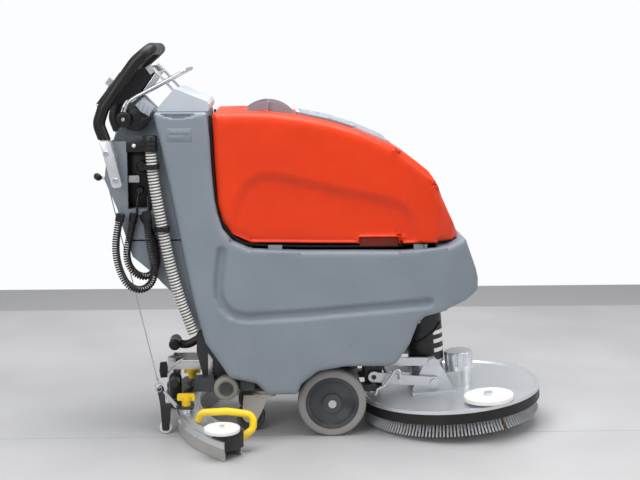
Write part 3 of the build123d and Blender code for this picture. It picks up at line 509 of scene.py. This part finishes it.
def inside(points, edges):
    """Even-odd test of points against a set of closed loops given as segments."""
    odd = np.zeros(len(points), bool)
    for a, b in edges:
        if a[1] == b[1]:
            continue
        spans = (points[:, 1] > min(a[1], b[1])) & (points[:, 1] <= max(a[1], b[1]))
        x = a[0] + (points[:, 1] - a[1]) * (b[0] - a[0]) / (b[1] - a[1])
        odd ^= spans & (points[:, 0] < x)
    return odd


def smoothstep(value):
    value = np.clip(value, 0, 1)
    return value * value * (3 - 2 * value)


def softened(node, name, plan, radius, relief, fine_near, slot, lift_inner):
    """A copy of a shell whose flat sides get rounded rims and moulded relief.

    plan is (x, half-width) of the outer sides in mm, relief(points) the depth in metres of
    the moulded lines at (x, z) points, and fine_near the lines that need a finer mesh.
    lift_inner moves the inner walls away from the relief, in metres.
    """
    bm = bmesh.new()
    bm.from_mesh(frame["nodes"][node].data)
    bmesh.ops.remove_doubles(bm, verts=bm.verts, dist=2e-5)
    bm.normal_update()
    px = np.array([(x + ORIGIN_X) / 1000 for x, _ in plan])
    pw = np.array([w / 1000 for _, w in plan])
    rim = [(v.co.x, abs(v.co.y)) for v in bm.verts
           if -0.0045 < abs(v.co.y) - np.interp(v.co.x, px, pw) < 0.0015]
    xs = np.array(sorted({round(x, 4) for x, _ in rim}))
    ws = np.array([max(w for x, w in rim if abs(x - one) < 6e-5) for one in xs])
    for v in bm.verts:
        gap = np.interp(v.co.x, xs, ws) - abs(v.co.y)
        if 0.0045 < gap < 0.0095:
            v.co.y -= math.copysign(lift_inner, v.co.y)
    for side in (-1, 1):
        skin = []
        for f in bm.faces:
            c = f.calc_center_median()
            half = np.interp(c.x, xs, ws)
            if side * f.normal.y > 0.25 and half - 0.003 < side * c.y < half + 0.0015:
                skin.append(f)
        chosen = set(skin)
        border = [e for e in {e for f in skin for e in f.edges}
                  if sum(f in chosen for f in e.link_faces) == 1]
        smooth_ends, sharp = [], []
        for e in border:
            other = [f for f in e.link_faces if f not in chosen]
            own = [f for f in e.link_faces if f in chosen][0]
            turned = other and other[0].normal.angle(own.normal, 0) > math.radians(40)
            (sharp if turned else smooth_ends).append(e)
        flat = lambda v: np.array([v.co.x, v.co.z])
        ends = np.array([flat(v) for e in smooth_ends for v in e.verts] or [[9.0, 9.0]])
        reach = {}
        for v in {v for e in sharp for v in e.verts}:
            room = [abs(v.co.y) - side * e.other_vert(v).co.y for e in v.link_edges
                    if not any(f in chosen for f in e.link_faces)]
            room = min([r for r in room if r > 1e-4] or [1.0])
            fade = smoothstep(np.linalg.norm(ends - flat(v), axis=1).min() / 0.07)
            reach[v] = min(radius, 0.6 * room) * float(fade)
        bmesh.ops.delete(bm, geom=skin, context="FACES")
        loop_verts = list({v for e in border for v in e.verts})
        number = {v: i for i, v in enumerate(loop_verts)}
        loops = [(flat(e.verts[0]), flat(e.verts[1])) for e in border]
        sharp_lines = [(flat(e.verts[0]), flat(e.verts[1])) for e in sharp]
        sharp_reach = [(reach[e.verts[0]], reach[e.verts[1]]) for e in sharp]
        inner = []
        for (a, b), (ra, rb) in zip(sharp_lines, sharp_reach):
            run = b - a
            size = np.linalg.norm(run)
            if size < 1e-6:
                continue
            out = np.array([-run[1], run[0]]) / size
            for t in np.linspace(0, 1, max(2, int(size / 0.008) + 1)):
                for turn in (15, 30, 45, 60, 78):
                    for hand in (-1, 1):
                        deep = (ra + (rb - ra) * t) * (1 - math.cos(math.radians(turn)))
                        if deep > 2e-4:
                            inner.append((*(a + run * t + out * hand * deep), deep))
        inner = np.array(inner)
        gap, _, _ = near_lines(inner[:, :2], sharp_lines)
        inner = inner[gap > 0.985 * inner[:, 2]][:, :2]
        corners = [p for loop in loops for p in loop]
        low, high = np.min(corners, 0), np.max(corners, 0)
        grid = []
        for pitch, close in ((0.010, 9.0), (0.0032, 0.026)):
            gx, gz = np.meshgrid(np.arange(low[0], high[0], pitch),
                                 np.arange(low[1], high[1], pitch))
            gx[::2] += pitch / 2
            points = np.stack([gx.ravel(), gz.ravel()], 1)
            if close < 1:
                points = points[near_lines(points, fine_near)[0] < close]
            grid.append(points)
        if len(grid[1]):
            grid[0] = grid[0][near_lines(grid[0], fine_near)[0] > 0.028]
        grid = np.concatenate(grid)
        gap, which, t = near_lines(grid, sharp_lines)
        r_here = np.array([sharp_reach[i][0] + (sharp_reach[i][1] - sharp_reach[i][0]) * s
                           for i, s in zip(which, t)])
        grid = grid[gap > r_here + 0.002]
        points = np.concatenate([inner, grid])
        points = points[inside(points, loops)]
        points = points[near_lines(points, loops)[0] > 3e-4]
        rounded = {tuple(p) for p in np.round(points, 4)}
        points = np.array(sorted(rounded))
        every = [Vector(flat(v)) for v in loop_verts] + [Vector(p) for p in points]
        edges = [(number[e.verts[0]], number[e.verts[1]]) for e in border]
        co, _, faces, origin, _, _ = delaunay_2d_cdt(every, edges, [], 0, 1e-6)
        co = np.array([list(c) for c in co])
        gap, which, t = near_lines(co, sharp_lines)
        r_here = np.array([sharp_reach[i][0] + (sharp_reach[i][1] - sharp_reach[i][0]) * s
                           for i, s in zip(which, t)])
        u = np.clip(gap / np.maximum(r_here, 1e-6), 0, 1)
        drop = r_here * (1 - np.sqrt(1 - (1 - u) ** 2))
        fade = smoothstep((gap - 0.001) / 0.01)
        width = np.interp(co[:, 0], xs, ws) - drop - relief(co, side) * fade
        for v in loop_verts:
            v.co.y = side * (abs(v.co.y) - reach.get(v, 0.0))
        mine = []
        for k, place in enumerate(co):
            own = [i for i in origin[k] if i < len(loop_verts)]
            mine.append(loop_verts[own[0]] if own
                        else bm.verts.new((place[0], side * width[k], place[1])))
        middles = np.array([co[list(f)].mean(0) for f in faces])
        keep = inside(middles, loops)
        for f, ok in zip(faces, keep):
            if not ok or len({mine[i] for i in f}) < 3:
                continue
            corners = [mine[i] for i in (f if side < 0 else reversed(f))]
            if bm.faces.get(corners) is None:
                bm.faces.new(corners)
    made = piece_from(bm, name, slot, frame["nodes"][node]["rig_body"], 34)
    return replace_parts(made, node)


BODY_PLAN = [(-520, 205), (-330, 205), (-290, 215), (250, 215), (330, 190), (430, 120), (446, 0)]
BODY_LINE = mm_xz([(-315, 556), (-322, 500), (-327, 450), (-324, 425), (-312, 400), (-292, 380),
                   (-268, 370), (-240, 366), (-95, 374), (70, 387), (234, 401), (275, 404)])
TOWER_DISH = (-432, 953, 57, 24)     # crescent under the cowl: centre and half-axes


def body_relief(points, side):
    lines = list(zip(BODY_LINE, BODY_LINE[1:]))
    gap, _, _ = near_lines(points, lines)
    line = 0.013 * (0.5 + 0.5 * np.cos(np.pi * np.clip(gap / 0.021, 0, 1)))
    x, z, a, b = TOWER_DISH
    cx, cz = mm_xz([(x, z)])[0]
    oval = ((points[:, 0] - cx) / (a / 1000)) ** 2 + ((points[:, 1] - cz) / (b / 1000)) ** 2
    dish = 0.010 * smoothstep((1 - oval) / 0.16)
    return line + dish


HOOD_PLAN = [(-360, 200), (190, 200), (300, 180), (352, 120), (378, 60), (379, 0)]
HOOD_ARCH = mm_xz([(-286, 560), (-284, 610), (-280, 650), (-266, 705), (-243, 743), (-208, 765),
                   (-173, 769), (-130, 761), (-73, 747), (53, 718), (160, 697), (200, 676),
                   (226, 645), (236, 600), (238, 560)])


def hood_relief(points, side):
    lines = list(zip(HOOD_ARCH, HOOD_ARCH[1:]))
    gap, _, _ = near_lines(points, lines)
    closed = lines + [(HOOD_ARCH[-1], HOOD_ARCH[0])]
    under = inside(points, closed)
    depth = smoothstep(0.5 + np.where(under, gap, -gap) / 0.036)
    return 0.013 * depth


BODY_FINE = list(zip(BODY_LINE, BODY_LINE[1:]))
BODY_FINE += [tuple(mm_xz([(-489, 953), (-462, 936)])), tuple(mm_xz([(-462, 936), (-432, 929)])),
              tuple(mm_xz([(-432, 929), (-400, 936)])), tuple(mm_xz([(-400, 936), (-375, 953)]))]
softened("body_shell", "tank_shell_grey", BODY_PLAN, 0.014, body_relief, BODY_FINE,
         "grey_moulding", lift_inner=0.016)
softened("recovery_tank", "hood_shell_red", HOOD_PLAN, 0.024, hood_relief,
         list(zip(HOOD_ARCH, HOOD_ARCH[1:])), "red_moulding", lift_inner=0.018)


# ---------------------------------------------------------------- details by region

DECK_X, DECK_Z, DECK_TILT = 369.0, 97.0, math.radians(4.5)


def on_deck(u, v, z):
    """A point of the deck's own level frame, in the row frame."""
    return at(DECK_X + u * math.cos(DECK_TILT) - z * math.sin(DECK_TILT), v,
              DECK_Z + u * math.sin(DECK_TILT) + z * math.cos(DECK_TILT))


# brush

# tufts, radius at the disc, radius at the tips, strands a tuft
TUFT_ROWS = [(156, 243, 263, 8), (90, 210, 218, 4), (60, 166, 170, 4), (44, 134, 134, 4)]
WORN_TUFT = math.radians(-61)
BRISTLE_TIP = 72.6


def brush_with_tufts():
    """Drive disc and four rows of bristle tufts, each a fan of separate strands."""
    bm = bmesh.new()
    lathe(bm, [(0.1, -18), (58, -18), (60, -16), (60, -14), (244, -14), (248, -18), (248, -34),
               (246, -36), (0.1, -36)], on_deck, 96, 1)
    lathe(bm, [(0.1, 33), (12, 33), (14, 31), (14, -19), (0.1, -19)], on_deck, 24, 1)
    for tufts, top, tip, strands in TUFT_ROWS:
        for k in range(tufts):
            angle = 2 * math.pi * (k + 0.5 * (tufts % 4 == 0)) / tufts
            worn = top > 240 and abs((angle - WORN_TUFT + math.pi) % (2 * math.pi) - math.pi) < 0.03
            for s in range(strands):
                spin = 2.4 * s
                out = math.sqrt((s + 0.5) / strands)
                du, dv = out * math.cos(spin), out * math.sin(spin)
                lean = 1.0 + 0.10 * (random.random() - 0.5)
                low = -BRISTLE_TIP + 1.2 * random.random()
                points = []
                for share in (0.0, 0.45, 1.0):
                    r = top + (tip - top) * share ** 1.4 + du * (2.0 + 2.0 * share) * lean
                    t = angle + dv * (1.5 + 0.9 * share) * lean / r
                    points.append(on_deck(r * math.cos(t), r * math.sin(t),
                                          -35 + (low + 35) * share))
                tube(bm, points, [0.0009, 0.0010, 0.0008], sides=4, material=2 if worn else 0)
    worn_red = moulded("worn_bristle", (0.19, 0.05, 0.03), 0.6, 1500, 0.4)
    made = piece_from(bm, "brush_with_tufts", ["bristle_plastic", "black_plastic", worn_red],
                      "brush_body", 60)
    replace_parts(made, "brush")


brush_with_tufts()


# motor bands and its cable

MOTOR_U, LEAD_R = -66, 58          # motor axis along the deck, and the lead's distance from it


def motor_dress():
    """Three blank pale bands on the motor's front right, and the lead across it."""
    bm = bmesh.new()
    for low, high in ((125, 137), (153, 165), (179, 191)):
        rows = []
        for radius in (54.9, 55.4):
            for z in (low, high):
                rows.append([bm.verts.new(on_deck(MOTOR_U + radius * math.cos(t),
                                                  radius * math.sin(t), z))
                             for t in (math.radians(a) for a in range(-68, 1, 4))])
        for a, b, flip in ((rows[0], rows[1], 1), (rows[2], rows[3], 0), (rows[0], rows[2], 0),
                           (rows[1], rows[3], 1)):
            for k in range(len(a) - 1):
                corners = (a[k], a[k + 1], b[k + 1], b[k])
                bm.faces.new(reversed(corners) if flip else corners)
        for k in (0, -1):
            bm.faces.new((rows[0][k], rows[1][k], rows[3][k], rows[2][k]))
    bmesh.ops.recalc_face_normals(bm, faces=bm.faces)
    made = piece_from(bm, "motor_bands", "white_plastic", "deck")
    bm = bmesh.new()
    lead = [(-2.4, 150), (-2.0, 163), (-1.5, 178), (-1.0, 196), (-0.6, 214)]   # angle, height
    places = [on_deck(MOTOR_U + LEAD_R * math.cos(t), LEAD_R * math.sin(t), z) for t, z in lead]
    line, _ = evenly(route_points("lead_route", places), 0.004)
    tube(bm, line, 0.0028, sides=10)
    piece_from(bm, "motor_lead", "cord_rubber", "deck", 60)


motor_dress()


# bail, lever knob, filter cap

def bail_piece():
    """Bent steel rod between two black hubs."""
    half = [(-589, 931), (-586, 944), (-581, 960), (-574, 975), (-560, 985), (-535, 998),
            (-480, 1027), (-436, 1050), (-421, 1058.5)]
    right = [at(x, -140, z) for x, z in half] + [at(-412.5, -134, 1063)]
    left = [at(-412.5, 134, 1063)] + [at(x, 140, z) for x, z in reversed(half)]
    middle = [at(-411, y, 1064) for y in (-118, -60, 0, 60, 118)]
    line, _ = evenly(route_points("bail_route", right + middle + left), 0.005)
    bm = bmesh.new()
    tube(bm, line, 0.005, sides=16)
    for side in (-1, 1):
        lathe(bm, [(6, 132), (20, 132), (22.5, 134), (22.5, 145), (19, 147.6), (13, 147.6),
                   (12, 146), (7, 146), (6, 147), (6, 132.1)], across_y(-589, 925, side), 40, 1)
        lathe(bm, [(0.1, 146.5), (4.6, 146.5), (5.2, 147), (5.2, 149), (4.4, 149.8), (0.1, 149.8)],
              across_y(-589, 925, side), 20, 0)
    made = piece_from(bm, "bail_rod", ["bright_steel", "black_plastic"], "bail_frame",
                      40)
    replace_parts(made, "bail")


def lever_knob():
    """Black ball knob pressed over the lever's steel end."""
    bm = bmesh.new()
    profile = [(0.1, -11.2), (4, -10.6), (7.4, -8.4), (10, -4.9), (11.2, 0), (10, 4.9),
               (7.4, 8.4), (5.0, 9.9), (4.9, 13), (0.1, 13)]
    lathe(bm, profile, lambda a, b, along: at(-666 + along * 0.985, -136 + a,
                                              763 - along * 0.17 + b), 28)
    piece_from(bm, "lever_knob", "black_plastic", "lever", 50)


def strainer_cap():
    """Grip-ribbed cap with a raised ring and a dark centre."""
    grip = lambda k, along: 1.5 if k % 4 < 2 and 156 < along < 181 else 0
    bm = bmesh.new()
    lathe(bm, [(0.1, 151.5), (33, 151.5), (34, 156.5), (34.3, 180), (32, 183), (24, 184), (23, 181),
               (20.5, 181), (0.1, 181)], across_y(-308, 150, -1), 112, 0, grip)
    lathe(bm, [(0.1, 180), (20, 180), (20, 183.4), (18.6, 184), (17.4, 183.2), (0.1, 183.2)],
          across_y(-308, 150, -1), 48, 1)
    made = piece_from(bm, "strainer_cap", ["cap_plastic", "slate_plastic"], "strainer_cap",
                      40)
    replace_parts(made, "filter_cap")


bail_piece()
lever_knob()
strainer_cap()


# handle column

def column_details():
    """Dark recess with its plugs and short leads, gland box and badge plate."""
    bm = bmesh.new()
    boxes(bm, [(-579.4, -522.6, -113.6, -112.3, 672.6, 835.4),
               (-579.4, -578.2, -148.5, -112.3, 672.6, 835.4),
               (-523.8, -522.6, -148.5, -112.3, 672.6, 835.4),
               (-579.4, -522.6, -148.5, -112.3, 834.2, 835.4),
               (-582, -512, -151.0, -149.4, 835, 869),
               (-523, -512, -151.0, -149.4, 668, 836)], 0, 0.0003)
    lathe(bm, [(0.1, 113), (17, 113), (18, 116), (18, 128), (15, 130), (15, 140), (12, 143),
               (0.1, 143)], across_y(-540, 792, -1), 36, 0)
    lathe(bm, [(0.1, 113), (12, 113), (12, 133), (10, 136), (0.1, 136)],
          across_y(-549, 722, -1), 28, 0)
    lathe(bm, [(0.1, 149.5), (5.4, 149.5), (5.8, 151), (5.4, 154.5), (3.4, 156.5), (0.1, 157)],
          across_y(-560, 852, -1), 24, 1)
    piece_from(bm, "recess_plugs", ["black_plastic", "white_plastic"], "chassis",
               40)

    bm = bmesh.new()
    for points in ([(-549, -134, 722), (-551, -146, 712), (-554, -153.5, 690), (-556, -154, 660),
                    (-559, -154, 632)],
                   [(-528, -128, 706), (-526, -142, 690), (-523, -153.5, 668), (-518, -154, 648),
                    (-516, -154, 628)]):
        line, _ = evenly(route_points("recess_lead", [at(*p) for p in points]), 0.004)
        tube(bm, line, 0.003, sides=10)
    piece_from(bm, "recess_leads", "cord_rubber", "chassis", 60)

    bm = bmesh.new()
    slope = [(-556, 966), (-532, 986), (-500, 958), (-518, 934), (-541, 946)]
    plate(bm, slope, -131, -116, 0, 0.002)
    for k in range(4):
        x, z = -548 + 10 * k, 970 - 7.6 * k
        plate(bm, [(x - 2, z - 12), (x + 1.5, z - 14.5), (x + 9, z + 7), (x + 5.5, z + 9.5)],
              -132.4, -130, 0, 0.0007)
    piece_from(bm, "gland_box", "pale_moulding", "chassis", 35)

    bm = bmesh.new()
    oval = [(-548 + 14 * math.cos(t), 871 + 8 * math.sin(t))
            for t in (2 * math.pi * k / 28 for k in range(28))]
    plate(bm, oval, -95.6, -92.4, 0, 0.0008)
    piece_from(bm, "round_plate", "panel_plastic", "chassis", 35)


SEAM = [(-344, 938), (-339, 850), (-335, 760), (-330, 692), (-319, 651), (-301, 613), (-270, 585.5),
        (-235, 571.5), (-94, 566.5), (77, 565.5), (250, 565.5), (340, 569), (368, 573)]


def seam_seal():
    """Black seal strip lying in the gap between the two tanks, on both sides; it is a seal and its
    black also paints the shade in that gap.
    """
    line, _ = evenly(route_points("seam_route", [at(x, 0, z) for x, z in SEAM]), 0.008)
    bm = bmesh.new()
    for side in (-1, 1):
        rings = []
        for index, here in enumerate(line):
            ahead = line[min(index + 1, len(line) - 1)] - line[max(index - 1, 0)]
            ahead /= np.linalg.norm(ahead)
            up = np.array([-ahead[2], 0, ahead[0]])
            wide = 0.178 if here[0] < 0.2 else 0.178 - (here[0] - 0.2) * 0.42
            rings.append([bm.verts.new(Vector(here + up * h + np.array([0, side * (wide - d), 0])))
                          for h, d in ((0.0032, 0), (0.0032, 0.03), (-0.0032, 0.03), (-0.0032, 0))])
        faces = []
        for a, b in zip(rings, rings[1:]):
            for k in range(4):
                faces.append(bm.faces.new((a[k], a[(k + 1) % 4], b[(k + 1) % 4], b[k])))
        faces += [bm.faces.new(list(reversed(rings[0]))), bm.faces.new(rings[-1])]
        bmesh.ops.recalc_face_normals(bm, faces=faces)
    # The strip is a seal, and its black also stands in for the shade in the gap between the tanks.
    piece_from(bm, "seam_seal", "black_rubber", "chassis", 30)


def switch_boxes():
    """Rounded black boxes beside the column that carry the bail's pivots."""
    hook = [(-596, 936), (-597, 915), (-584, 900), (-566, 893), (-546, 893), (-528, 903),
            (-511, 928), (-520, 938), (-530, 930), (-540, 946), (-556, 962), (-580, 952)]
    step = [(-572, 948), (-552, 958), (-536, 938), (-545, 920), (-566, 922)]
    bm = bmesh.new()
    for side in (-1, 1):
        plate(bm, hook, side * 94, side * 129, 0, 0.003)
        plate(bm, step, side * 120, side * 131, 0, 0.002)
        boxes(bm, [(-560, -534, *sorted((side * 60, side * 100)), 905, 950)], 0, 0.003)
    made = piece_from(bm, "switch_boxes", "black_plastic", "chassis", 40)
    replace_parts(made, "switch_housings")


def handle_plates():
    """Flat alloy plates that hold the handle's ends, two bolts each."""
    bm = bmesh.new()
    for side in (-1, 1):
        plate(bm, [(-651, 868), (-621, 868), (-591, 746), (-595, 739), (-614, 737), (-620, 742)],
              side * 189, side * 193, 0, 0.0015)
        for x, z in ((-633, 834), (-609, 758)):
            lathe(bm, [(0.1, 192), (7.6, 192), (8, 194), (6.6, 196.5), (3.4, 196.5), (3, 195.2),
                       (0.1, 195.2)], across_y(x, z, side), 24, 1)
    piece_from(bm, "handle_plates", ["cast_aluminium", "bright_steel"], "chassis",
               35)


def back_struts():
    """Alloy back plate of the dash, its two blocks and the square struts down to the cowl."""
    bm = bmesh.new()
    plate(bm, [(-492, 1056), (-538, 991), (-541.5, 993), (-495.5, 1058)], -128, 128, 0, 0.0008)
    for side in (-1, 1):
        near, far = side * 119, side * 131
        plate(bm, [(-526, 1069), (-511, 1080), (-496, 1061), (-511, 1050)], near, far, 0, 0.0015)
        plate(bm, [(-507, 1067), (-501, 1072), (-439, 1002), (-445, 997)], side * 122, side * 129,
              0, 0.001)
    made = piece_from(bm, "back_struts", "cast_aluminium", "chassis", 35)
    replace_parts(made, "dash_struts")


CHEEK_AT, CHEEK_FROM, CHEEK_TO = (-181, 905), 78, 97       # the CAD's disc and the finished arc
ARC_AT_Z, CHEEK_STRETCH = 876, 1.17


def flattened_cheek(node, name, body):
    """A copy of a lid part whose round cheeks are grey and follow a wider, flatter arc."""
    bm = bmesh.new()
    bm.from_mesh(frame["nodes"][node].data)
    bm.transform(frame["nodes"][node].matrix_world)
    for vert in bm.verts:
        x = vert.co.x * 1000 - ORIGIN_X - CHEEK_AT[0]
        z = vert.co.z * 1000 - CHEEK_AT[1]
        if math.hypot(x, z) > CHEEK_FROM - 3 and z > -1 and abs(vert.co.y) > 0.0765 and (
                abs(x) < CHEEK_FROM + 1):
            wide = x * CHEEK_STRETCH
            vert.co.x = (ORIGIN_X + CHEEK_AT[0] + wide) / 1000
            vert.co.z = (ARC_AT_Z + math.sqrt(max(CHEEK_TO ** 2 - wide ** 2, 0))) / 1000
    for face in bm.faces:
        middle = face.calc_center_median()
        face.material_index = int(abs(middle.y) > 0.0765 and middle.z > 0.9)
    made = piece_from(bm, name, ["pale_moulding", "grey_moulding"], body, 30)
    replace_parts(made, node)


def side_of(name, x, z):
    """Y in mm of a finished piece's near side at (x, z)."""
    bpy.context.view_layer.update()
    hit, place, _, _ = bpy.data.objects[name].ray_cast(at(x, -600, z), Vector((0, 1, 0)))
    return place.y * 1000 if hit else -200


def blank_badge():
    """Blank embossed plate on the column, and dark red plates painted as shade inside the hood's
    two finger notches.
    """
    bm = bmesh.new()
    skin = side_of("tank_shell_grey", -428, 887)
    boxes(bm, [(-463, -394, skin - 0.8, skin + 4, 868, 905),
               (-457, -400, skin - 1.5, skin, 889, 899),
               (-457, -418, skin - 1.5, skin, 874, 884)], 0, 0.0006)
    piece_from(bm, "blank_badge", "grey_moulding", "chassis", 35)
    # Painted shade: dark red plates inside the hood's two finger notches stand in for the shade
    # that falls in them.
    bm = bmesh.new()
    for side in (-1, 1):
        boxes(bm, [(77, 187, *sorted((side * 178, side * 184)), 566, 591)], 0, 0.0005)
    notch_shade_red = moulded("notch_painted_shade", (0.16, 0.010, 0.003), 0.6, 900, 0.1)
    piece_from(bm, "finger_notches", notch_shade_red, "tank", 35)


column_details()
back_struts()
switch_boxes()
handle_plates()
flattened_cheek("tank_lid", "ribbed_lid", "lid")
flattened_cheek("lid_cheeks", "cheek_plates", "tank")
blank_badge()
seam_seal()


# squeegee

ARC_X, ARC_OUT, ARC_IN = 83, 543, 477        # centre and faces of the squeegee's arc, mm


def arc_block(bm, inner, outer, z0, z1, start, end, material=0):
    """A closed curved block about the squeegee's arc centre, angles in degrees from the back."""
    rings = []
    for k in range(7):
        angle = math.radians(start + (end - start) * k / 6)
        rings.append([bm.verts.new(at(ARC_X - r * math.cos(angle), r * math.sin(angle), z))
                      for r, z in ((inner, z0), (outer, z0), (outer, z1), (inner, z1))])
    faces = []
    for a, b in zip(rings, rings[1:]):
        for k in range(4):
            faces.append(bm.faces.new((a[k], a[(k + 1) % 4], b[(k + 1) % 4], b[k])))
    faces += [bm.faces.new(list(reversed(rings[0]))), bm.faces.new(rings[-1])]
    bmesh.ops.recalc_face_normals(bm, faces=faces)
    for face in faces:
        face.material_index = material
    edges = [e for e in {e for f in faces for e in f.edges} if e.calc_face_angle(0) > 0.8]
    bmesh.ops.bevel(bm, geom=edges, offset=0.002, segments=2, affect="EDGES", profile=0.5,
                    material=-1)


def squeegee_dress():
    """Black end blocks, the steel link strap, the cable's eye and the crescent plate."""
    bm = bmesh.new()
    for side in (-1, 1):
        arc_block(bm, ARC_IN - 1.5, ARC_OUT + 1.5, 26, 74.6, side * 38.4, side * 44.7)
    piece_from(bm, "squeegee_end_blocks", "black_plastic", "squeegee", 40)

    bm = bmesh.new()
    plate(bm, [(-494, 134), (-486, 136), (-448, 92), (-452, 84), (-460, 86)], -150, -147, 0, 0.0008)
    for k in range(2):
        eye = [at(-507 + 9 * math.cos(t), -133 + 1.5 * k, 150 - 12 * k + 9 * math.sin(t))
               for t in (2 * math.pi * a / 20 + 0.3 for a in range(20))]
        tube(bm, eye, 0.0013, sides=8)
    piece_from(bm, "squeegee_steel", "bright_steel", "squeegee", 40)

    bm = bmesh.new()
    plate(bm, [(-507, 202), (-487, 204), (-484, 186), (-486, 156), (-506, 154), (-510, 176)],
          -72, -66, 0, 0.002)
    lathe(bm, [(0.1, 66), (13, 66), (14, 69), (14, 120), (12, 122), (0.1, 122)],
          across_y(-462, 150, -1), 32)
    lathe(bm, [(0.1, 100), (7, 100), (7.6, 101), (7.6, 127), (6, 128), (0.1, 128)],
          across_y(-416, 152, -1), 24)
    piece_from(bm, "squeegee_dark", "black_plastic", "squeegee_lift_arm", 40)

    bm = bmesh.new()
    plate(bm, [(-488, 168), (-476, 188), (-452, 206), (-437, 213), (-443, 204), (-462, 192),
               (-474, 180), (-482, 167)], -66, -59, 0, 0.001)
    piece_from(bm, "crescent_plate", "bright_steel", "squeegee_lift_arm", 40)

    bm = bmesh.new()
    plate(bm, [(-364, 232), (-349, 212), (-350, 156), (-365, 156)], -80.5, -77, 0, 0.001)
    piece_from(bm, "rear_flange", "bright_steel", "chassis", 40)


squeegee_dress()


# ---------------------------------------------------------------- stage and light

FLOOR_BAND = 1.58        # a darker strip behind the object, and the floor's far edge
FLOOR_END = 2.04


FLOOR_JOINT, JOINT_HALF = -0.156, 0.0016


def make_stage():
    g = Graph("floor")
    parts = g.node("ShaderNodeSeparateXYZ")
    g.join(g.place, parts.inputs[0])
    base = g.ramp(g.noise(2.2, 4), (0.43, 0.43, 0.435), (0.49, 0.49, 0.495))
    specks = g.ramp(g.noise(420, 2), 0.0, 0.30, 0.55, 0.70)
    base = g.mix(specks, base, (0.29, 0.29, 0.295))
    step = g.node("ShaderNodeMath", operation="GREATER_THAN")
    step.inputs[1].default_value = FLOOR_BAND
    g.join(parts.outputs["Y"], step.inputs[0])
    base = g.mix(step.outputs[0], base, (0.325, 0.325, 0.33))
    joint = g.node("ShaderNodeMath", operation="COMPARE")
    joint.inputs[1].default_value = FLOOR_JOINT
    joint.inputs[2].default_value = JOINT_HALF
    g.join(parts.outputs["Y"], joint.inputs[0])
    base = g.mix(joint.outputs[0], base, (0.25, 0.25, 0.25))
    g.join(base, g.shader.inputs["Base Color"])
    g.shader.inputs["Roughness"].default_value = 0.5
    bm = bmesh.new()
    corners = [(-30, -30), (30, -30), (30, FLOOR_END), (-30, FLOOR_END)]
    bm.faces.new([bm.verts.new((x, y, 0)) for x, y in corners])
    mesh = bpy.data.meshes.new("floor")
    bm.to_mesh(mesh)
    bm.free()
    floor = bpy.data.objects.new("floor", mesh)
    mesh.materials.append(g.material)
    bpy.context.scene.collection.objects.link(floor)


# name, place, aim, size and power of each lamp; world level for light and for the camera
LAMPS = [("top", (0.0, -0.2, 3.0), (0, 0, 0.4), 2.4, 100),
         ("front", (-2.2, -3.2, 2.6), (-0.4, 0, 0.3), 2.2, 58),
         ("right", (2.8, -1.4, 2.0), (0, 0, 0.5), 1.6, 22)]
WORLD_LIGHT, WORLD_SEEN = 0.55, 1.0


def make_light():
    world = bpy.data.worlds.new("studio")
    world.use_nodes = True
    tree = world.node_tree
    back = tree.nodes["Background"]
    back.inputs[0].default_value = (0.97, 0.98, 1.0, 1)
    path = tree.nodes.new("ShaderNodeLightPath")
    level = tree.nodes.new("ShaderNodeMapRange")
    level.inputs["To Min"].default_value = WORLD_LIGHT
    level.inputs["To Max"].default_value = WORLD_SEEN
    tree.links.new(path.outputs["Is Camera Ray"], level.inputs["Value"])
    tree.links.new(level.outputs["Result"], back.inputs[1])
    bpy.context.scene.world = world
    for name, place, aim, size, power in LAMPS:
        data = bpy.data.lights.new(name, "AREA")
        data.energy, data.size = power, size
        lamp = bpy.data.objects.new(name, data)
        lamp.location = place
        lamp.rotation_mode = "QUATERNION"
        lamp.rotation_quaternion = (Vector(aim) - Vector(place)).to_track_quat("-Z", "Y")
        bpy.context.scene.collection.objects.link(lamp)
    bpy.context.scene.view_settings.view_transform = "Standard"


make_stage()
make_light()
